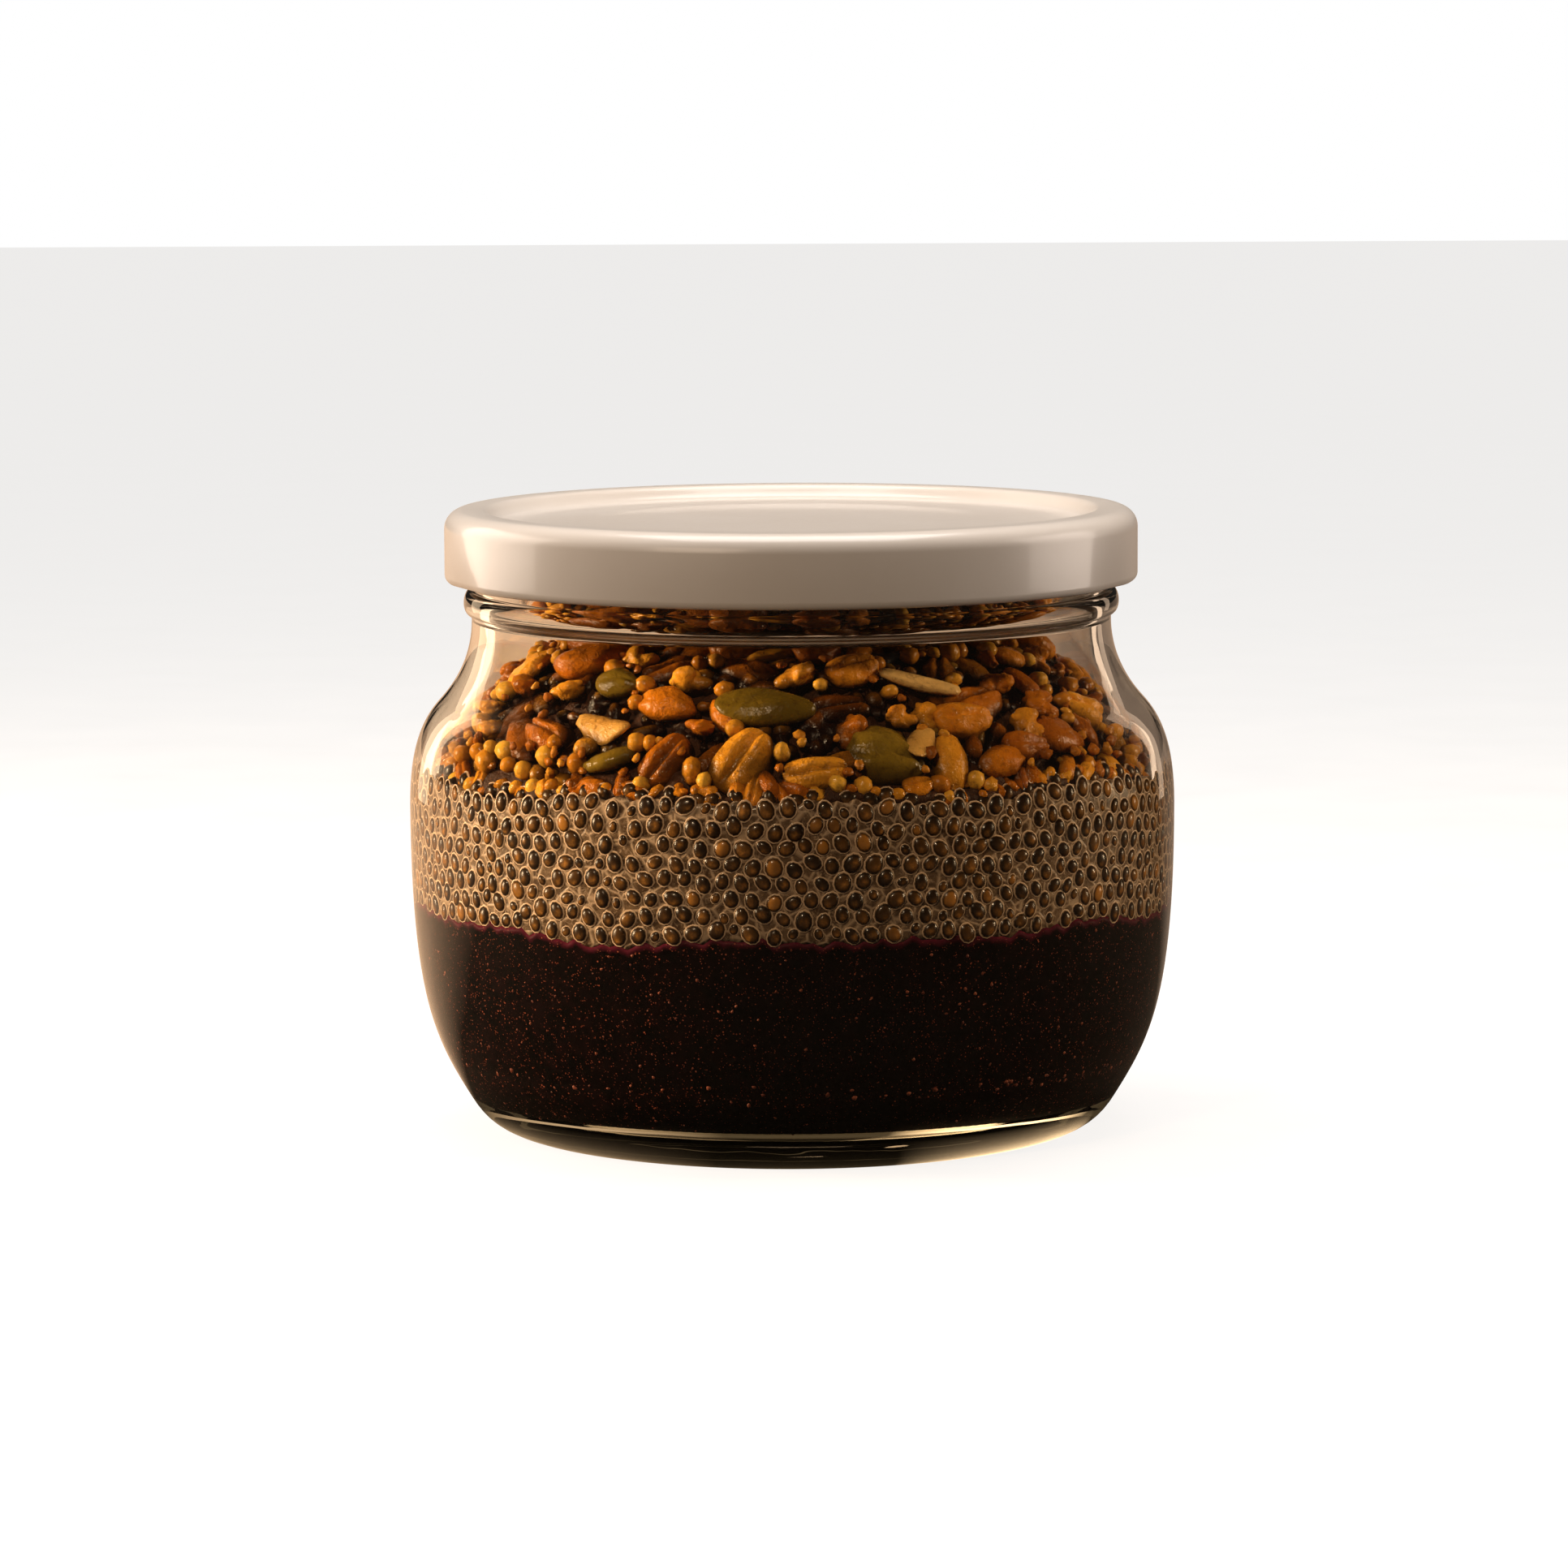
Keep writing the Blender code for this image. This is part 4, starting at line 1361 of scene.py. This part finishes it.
@dataclass(frozen=True)
class Granola:
    """The heap of granola on top.

    reach is the radius that pieces are strewn over, and beyond the brink
    they go up its steep edge along the glass.
    """

    shape: JarShape
    layers: Layers
    heap: Heap
    core_depth: float = 3.6
    clearance: float = 0.12
    foot_row: int = 170
    columns: int = 240
    reach: float = 43.4
    brink: float = 41.8
    lower_share: float = 0.3
    tries: int = 14

    def build(self) -> None:
        """Makes the core and every kind of piece."""
        self.build_core()
        shapes = {kind: plan.shape() for kind, plan in PLANS.items()}
        spots = self.spots(shapes)
        for kind, plan in PLANS.items():
            piece = scatter("granola_" + kind.value, spots[kind], shapes[kind],
                            plan.finish.material(kind.value), "granola", "granola")
            # painted shade: pieces get darker deep in the heap and under the lid
            set_values(piece.data, "deep", self.heap.depth(corners(piece.data)))

    def build_core(self) -> None:
        """Makes the crumbly body of the heap under its pieces, painted dark as the shade in the gaps
        between them.
        """
        angle = np.arange(self.columns) * math.tau / self.columns
        low = self.layers.chia_edge(angle) - 0.15
        edge = self.shape.inner_radius(low) - 0.5
        rows = [around(edge * 0.0, angle, low.mean()), around(edge * 0.5, angle, low),
                around(edge, angle, low), around(edge - 0.15, angle, low + 0.9)]
        for radius in np.concatenate([np.linspace(42.0, 2.0, 60), [0.0]]):
            height = np.full(self.columns, float(self.heap.height(radius)) - self.core_depth)
            x, y = radius * np.sin(angle), -radius * np.cos(angle)
            bumps = np.array([noise.noise(Vector((a * 0.45, b * 0.45, 0.3))) for a, b in zip(x, y)])
            fine = np.array([noise.noise(Vector((a * 1.3, b * 1.3, 7.3))) for a, b in zip(x, y)])
            rows.append(around(radius, angle, np.maximum(height + bumps * 1.6 + fine * 0.7, low + 0.5)))
        mesh = closed_mesh("granola_core", np.array(rows))
        # painted shade: the core's near-black colours stand for the shade seen in the gaps
        painted_shade_core = RoastFinish((0.012, 0.003, 0.0006), (0.035, 0.010, 0.0015), (0.11, 0.034, 0.005),
                            grain=1200.0, relief=0.5, dryness=0.4)
        set_values(mesh, "shade", np.full(len(mesh.vertices), 0.4))
        mesh.materials.append(painted_shade_core.material("granola_core"))
        placed("granola_core", mesh, "granola", "granola")

    def settle(self, points: np.ndarray, place: np.ndarray, axes: Matrix,
               size: tuple[float, float, float]) -> np.ndarray | None:
        """Moves a piece inwards and upwards until it fits.

        Args:
            points: The shape's own vertices.
            place: Where its middle would be.
            axes: Its axes.
            size: Its scale along each axis.

        Returns:
            Where its middle goes, or None when it can't fit.
        """
        own = (points * np.array(size)) @ np.array(axes).T
        place = place.copy()
        for _ in range(7):
            moved = own + place
            bearing = np.arctan2(moved[:, 0], -moved[:, 1])
            floor = self.layers.chia_edge(bearing) - 0.5
            reach = np.hypot(moved[:, 0], moved[:, 1])
            outside = float((reach - self.shape.inner_radius(moved[:, 2]) + self.clearance).max())
            below = float((floor - moved[:, 2]).max())
            if outside <= 0.0 and below <= 0.0:
                return place
            radius = max(float(np.hypot(place[0], place[1])), 0.01)
            place[:2] *= max(radius - max(outside, 0.0) * 1.05, 0.0) / radius
            place[2] += max(below, 0.0)
        return None

    def spots(self, shapes: dict[Kind, bpy.types.Mesh]) -> dict[Kind, list[Spot]]:
        """Returns the spots of every kind, large kinds first.

        Args:
            shapes: The mesh of each kind.

        Returns:
            The spots by kind.
        """
        rng = random.Random(21)
        points = {kind: corners(mesh) for kind, mesh in shapes.items()}
        spots: dict[Kind, list[Spot]] = {kind: [] for kind in Kind}
        taken = []
        for kind, x, height, turn, size, shade in FRONT:
            radius = self.heap.radius(height)
            angle = math.asin(x / radius)
            self.add(spots, taken, points, kind, radius, angle, height, math.radians(turn),
                     rng.uniform(-0.15, 0.15), size, shade, PLANS[kind].sunk * size[2])
        for index in range(self.foot_row):
            angle = math.tau * (index + rng.uniform(-0.4, 0.4)) / self.foot_row
            height = float(self.layers.chia_edge(angle)) + rng.uniform(0.3, 2.2)
            near = np.array(taken)
            middle = around(self.heap.radius(height), angle, height)
            if np.any(np.linalg.norm(near[:, :3] - middle, axis=1) < near[:, 3] * 0.9):
                continue
            kind, size = rng.choice(((Kind.PUFF, 0.9), (Kind.PUFF, 0.65), (Kind.CHUNK, 0.42),
                                     (Kind.CHUNK, 0.55), (Kind.KERNEL, 0.42), (Kind.GRAIN, 0.6),
                                     (Kind.CRUMB, 1.4)))
            self.add(spots, taken, points, kind, self.heap.radius(height), angle, height,
                     rng.uniform(0.0, math.tau), rng.gauss(0.0, 0.4),
                     tuple(size * rng.uniform(0.8, 1.2) for _ in range(3)), rng.random(), 0.5)
        for kind, plan in PLANS.items():
            for _ in range(plan.count):
                for _ in range(self.tries):
                    angle = rng.uniform(-math.pi, math.pi)
                    radius, height, layer = self.pick(rng)
                    middle = around(radius, angle, height)
                    near = np.array(taken)
                    apart = np.linalg.norm(near[:, :3] - middle, axis=1)
                    if np.all(apart > (near[:, 3] + plan.reach) * (0.86 - 0.22 * layer)):
                        scale = rng.uniform(0.68, 1.12)
                        size = tuple(scale * rng.uniform(0.86, 1.14) for _ in range(3))
                        self.add(spots, taken, points, kind, radius, angle, height,
                                 rng.uniform(0.0, math.tau), rng.gauss(0.0, 0.35), size,
                                 rng.random(), plan.sunk + 1.6 * layer)
                        break
        return spots

    def pick(self, rng: random.Random) -> tuple[float, float, int]:
        """Picks a place on the heap, evenly by area.

        Args:
            rng: Where the random numbers come from.

        Returns:
            The radius, the height and the layer: 0 on top, 1 below.
        """
        radius = self.reach * math.sqrt(rng.random())
        if radius > self.brink:
            return self.heap.radius(rng.uniform(45.4, 50.2)), rng.uniform(45.2, 50.2), 0
        return radius, float(self.heap.height(radius)), int(rng.random() < self.lower_share)

    def add(self, spots: dict, taken: list, points: dict, kind: Kind, radius: float, angle: float,
            height: float, turn: float, tilt: float, size: tuple, shade: float, sunk: float) -> None:
        """Adds one piece to the heap where it fits.

        Args:
            spots: The spots so far, by kind.
            taken: Middles and reaches of the pieces so far.
            points: Each kind's own vertices.
            kind: The piece's kind.
            radius: Distance from the axis of the surface above it.
            angle: Its bearing.
            height: Height of the surface above it.
            turn: Its turn about the outward direction.
            tilt: How far it leans.
            size: Its scale along each axis.
            shade: Its own shade, 0 to 1.
            sunk: How far its middle lies under the surface.
        """
        axes = self.heap.frame(radius, angle)
        out = np.array(axes.col[2])
        place = around(radius, angle, height) - out * sunk
        turned = axes @ Matrix.Rotation(turn, 3, "Z") @ Matrix.Rotation(tilt, 3, "X")
        settled = self.settle(points[kind], place, turned, size)
        if settled is None:
            return
        spots[kind].append(Spot(tuple(settled), turned, size, shade))
        taken.append((*around(radius, angle, height), PLANS[kind].reach * (size[0] + size[1]) / 2.0))


GLASS = ("jar_glass",)
LID = ("lid_shell",)
FILLINGS = ("fruit_body", "fruit_pips", "chia_gel", "chia_seeds", "granola_core",
            *("granola_" + kind.value for kind in Kind))


@dataclass(frozen=True)
class Softbox:
    """One soft lamp, aimed at the middle of the jar.

    azimuth runs from the camera's side towards +X, rise is the angle above
    the floor, and spares names the pieces that the lamp leaves unlit.
    """

    name: str
    azimuth: float
    rise: float
    size: tuple[float, float]
    watts: float
    colour: Colour
    spares: tuple[str, ...]
    distance: float = 0.42

    def build(self) -> None:
        """Makes the lamp; one that shines only through the glass is sampled as a lamp alone."""
        data = bpy.data.lights.new(self.name, "AREA")
        data.shape = "RECTANGLE"
        data.size, data.size_y = self.size
        data.energy = self.watts
        data.color = self.colour
        data.cycles.use_multiple_importance_sampling = self.spares != GLASS + LID
        lamp = bpy.data.objects.new(self.name, data)
        turn, rise = math.radians(self.azimuth), math.radians(self.rise)
        aim = Vector((math.sin(turn) * math.cos(rise), -math.cos(turn) * math.cos(rise), math.sin(rise)))
        lamp.location = aim * self.distance + Vector((0.0, 0.0, 0.04))
        lamp.rotation_euler = aim.to_track_quat("Z", "Y").to_euler()
        bpy.context.scene.collection.objects.link(lamp)
        spared = bpy.data.collections.new(self.name + "_spares")
        for name in self.spares:
            spared.objects.link(bpy.data.objects[name])
        for entry in spared.collection_objects:
            entry.light_linking.link_state = "EXCLUDE"
        lamp.light_linking.receiver_collection = spared


@dataclass(frozen=True)
class Glow:
    """A warm patch of the surroundings that only clear or shiny surfaces show.

    azimuth runs as a softbox's does, and spread is how far the patch
    reaches to each side, in degrees.
    """

    azimuth: float
    spread: float
    colour: Colour


@dataclass(frozen=True)
class Studio:
    """Camera, pale floor, pale backdrop and soft lamps.

    behind and glows are the backdrop as the glass shows it, floor_glows are
    the floor's patches, and under and the patches by the heel are painted light
    that the floor gives off below the jar, which the base of the glass shows.
    """

    eye: tuple[float, float, float] = (-0.00055, -0.780, 0.1365)
    pitch: float = 6.908
    roll: float = 0.27
    lens: float = 146.45
    fill: float = 0.03
    behind: Colour = (0.022, 0.012, 0.006)
    lamps: tuple = (
        Softbox("strip_left", -141.0, 8.0, (0.08, 0.40), 0.16, (1.0, 0.74, 0.48), LID),
        Softbox("strip_right", 141.0, 8.0, (0.04, 0.36), 0.05, (1.0, 0.72, 0.50), LID),
        Softbox("side_left", -88.0, 12.0, (0.09, 0.14), 3.6, (1.0, 0.74, 0.45), GLASS + LID),
        Softbox("side_right", 92.0, 12.0, (0.08, 0.14), 1.05, (1.0, 0.74, 0.45), GLASS + LID),
        Softbox("front", -20.0, 36.0, (0.024, 0.024), 0.60, (1.0, 0.75, 0.48), GLASS + LID),
        Softbox("lid_front", -30.0, 20.0, (0.20, 0.16), 0.38, (1.0, 0.77, 0.57), GLASS + FILLINGS),
        Softbox("lid_left", -112.0, 14.0, (0.36, 0.30), 1.6, (1.0, 0.84, 0.71), GLASS + FILLINGS),
        Softbox("lid_right", 98.0, 12.0, (0.26, 0.30), 0.93, (1.0, 0.85, 0.74), GLASS + FILLINGS),
        Softbox("lid_top", 180.0, 88.0, (0.36, 0.30), 2.1, (1.0, 0.94, 0.90), GLASS + FILLINGS),
    )
    glows: tuple = (Glow(-163.0, 33.0, (0.94, 0.65, 0.41)), Glow(159.0, 20.0, (0.22, 0.155, 0.11)))
    floor_glows: tuple = (Glow(-147.0, 50.0, (0.90, 0.56, 0.33)), Glow(157.0, 22.0, (0.22, 0.155, 0.11)))
    under: Colour = (0.075, 0.052, 0.026)
    painted_heel_light: tuple = (Glow(-55.0, 40.0, (0.50, 0.33, 0.18)), Glow(50.0, 30.0, (2.4, 1.65, 0.90)))

    def build(self) -> None:
        """Sets up everything round the finished jar."""
        self.build_camera()
        self.build_world()
        self.build_floor()
        for softbox in self.lamps:
            softbox.build()
        bpy.context.scene.view_settings.view_transform = "Standard"

    def build_camera(self) -> None:
        """Places the camera where the photograph was taken from."""
        data = bpy.data.cameras.new("camera")
        data.lens = self.lens
        data.sensor_width = 36.0
        data.clip_start = 0.01
        camera = bpy.data.objects.new("camera", data)
        camera.location = self.eye
        camera.rotation_euler = (math.radians(90.0 - self.pitch), math.radians(self.roll), 0.0)
        bpy.context.scene.collection.objects.link(camera)
        bpy.context.scene.camera = camera

    @staticmethod
    def around_jar(bench: Bench, base: Colour, patches: tuple) -> Wire:
        """Returns the glow of the surroundings, by direction from the jar.

        Args:
            bench: The bench of the floor or of the backdrop.
            base: The colour away from the patches.
            patches: The patches.

        Returns:
            Its colour.
        """
        level = bench.wire("ShaderNodeVectorMath", {"operation": "MULTIPLY"},
                           {0: bench.place(), 1: (1.0, 1.0, 0.0)})
        aim = bench.wire("ShaderNodeVectorMath", {"operation": "NORMALIZE"}, {0: level})
        colour: Any = base
        for patch in patches:
            turn = math.radians(patch.azimuth)
            facing = bench.wire("ShaderNodeVectorMath", {"operation": "DOT_PRODUCT"},
                                {0: aim, 1: (math.sin(turn), -math.cos(turn), 0.0)}, "Value")
            edge, middle = (math.cos(math.radians(patch.spread * share)) for share in (1.0, 0.3))
            colour = bench.added(bench.ramp(facing, (edge, 0.0), (middle, 1.0)), colour, patch.colour)
        return colour

    @staticmethod
    def rays(bench: Bench) -> tuple[Wire, Wire, Wire]:
        """Tells kinds of rays apart, each as 1 or 0.

        Args:
            bench: The bench of the floor or of the backdrop.

        Returns:
            The camera's own rays, rays that no dull surface scattered, and
            those of them that have just left the glass.
        """
        seen = bench.wire("ShaderNodeLightPath", output="Is Camera Ray")
        depth = bench.wire("ShaderNodeLightPath", output="Diffuse Depth")
        direct = bench.wire("ShaderNodeMath", {"operation": "LESS_THAN"}, {0: depth, 1: 0.5})
        return seen, direct, direct * bench.wire("ShaderNodeLightPath", output="Is Transmission Ray")

    def build_world(self) -> None:
        """Makes a backdrop that looks white and lights the jar only a little."""
        world = bpy.data.worlds.new("backdrop")
        bench = Bench("backdrop", world)
        seen, _, through = self.rays(bench)
        fill = (self.fill, self.fill * 0.86, self.fill * 0.70)
        indirect = bench.mix(through, fill, self.around_jar(bench, self.behind, self.glows))
        colour = bench.mix(seen, indirect, (1.0, 1.0, 1.0))
        light = bench.wire("ShaderNodeBackground", values={"Color": colour, "Strength": 1.0})
        bench.node("ShaderNodeOutputWorld", values={"Surface": light})
        bpy.context.scene.world = world

    def build_floor(self) -> None:
        """Makes the floor, pale to the camera and dimmer to the glass."""
        mesh = bpy.data.meshes.new("floor")
        mesh.from_pydata([(-3.0, -3.0, 0.0), (3.0, -3.0, 0.0), (3.0, 3.0, 0.0), (-3.0, 3.0, 0.0)],
                         [], [(0, 1, 2, 3)])
        bench = Bench("floor")
        seen, direct, _ = self.rays(bench)
        away = bench.wire("ShaderNodeVectorMath", {"operation": "LENGTH"}, {0: bench.place()}, "Value")
        outer = self.around_jar(bench, self.behind, self.floor_glows)
        clear = direct * bench.ramp(away * 10.0, (0.40, 0.0), (0.50, 1.0))
        # painted light: the floor below the jar glows, brighter in patches by the heel, for rays through
        # the glass
        inner = self.around_jar(bench, self.under, self.painted_heel_light)
        heel = direct * bench.ramp(away * 10.0, (0.37, 1.0), (0.41, 0.0))
        glow = bench.mix(heel, bench.mix(clear, (0.0, 0.0, 0.0), outer), inner)
        grit = bench.ramp(bench.noise(40.0, 3.0), (0.3, 0.16), (0.7, 0.20))
        pale = bench.mix(seen, (0.025, 0.022, 0.018), grit)
        mesh.materials.append(bench.finish(bench.surface({
            "Base Color": pale, "Roughness": 0.9, "Specular IOR Level": 0.0, "Emission Strength": 1.0,
            "Emission Color": bench.mix(seen, glow, (0.84, 0.83, 0.82))})))
        floor = bpy.data.objects.new("floor", mesh)
        bpy.context.scene.collection.objects.link(floor)


def main() -> None:
    """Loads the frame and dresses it."""
    logging.basicConfig(level=logging.INFO, format="%(name)s: %(message)s")
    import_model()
    shape = JarShape()
    layers = Layers()
    Fruit(shape, layers).build()
    Chia(shape, layers).build()
    Granola(shape, layers, Heap()).build()
    Lid().build()
    Jar(shape).build()
    Studio().build()


if __name__ == "__main__":
    main()
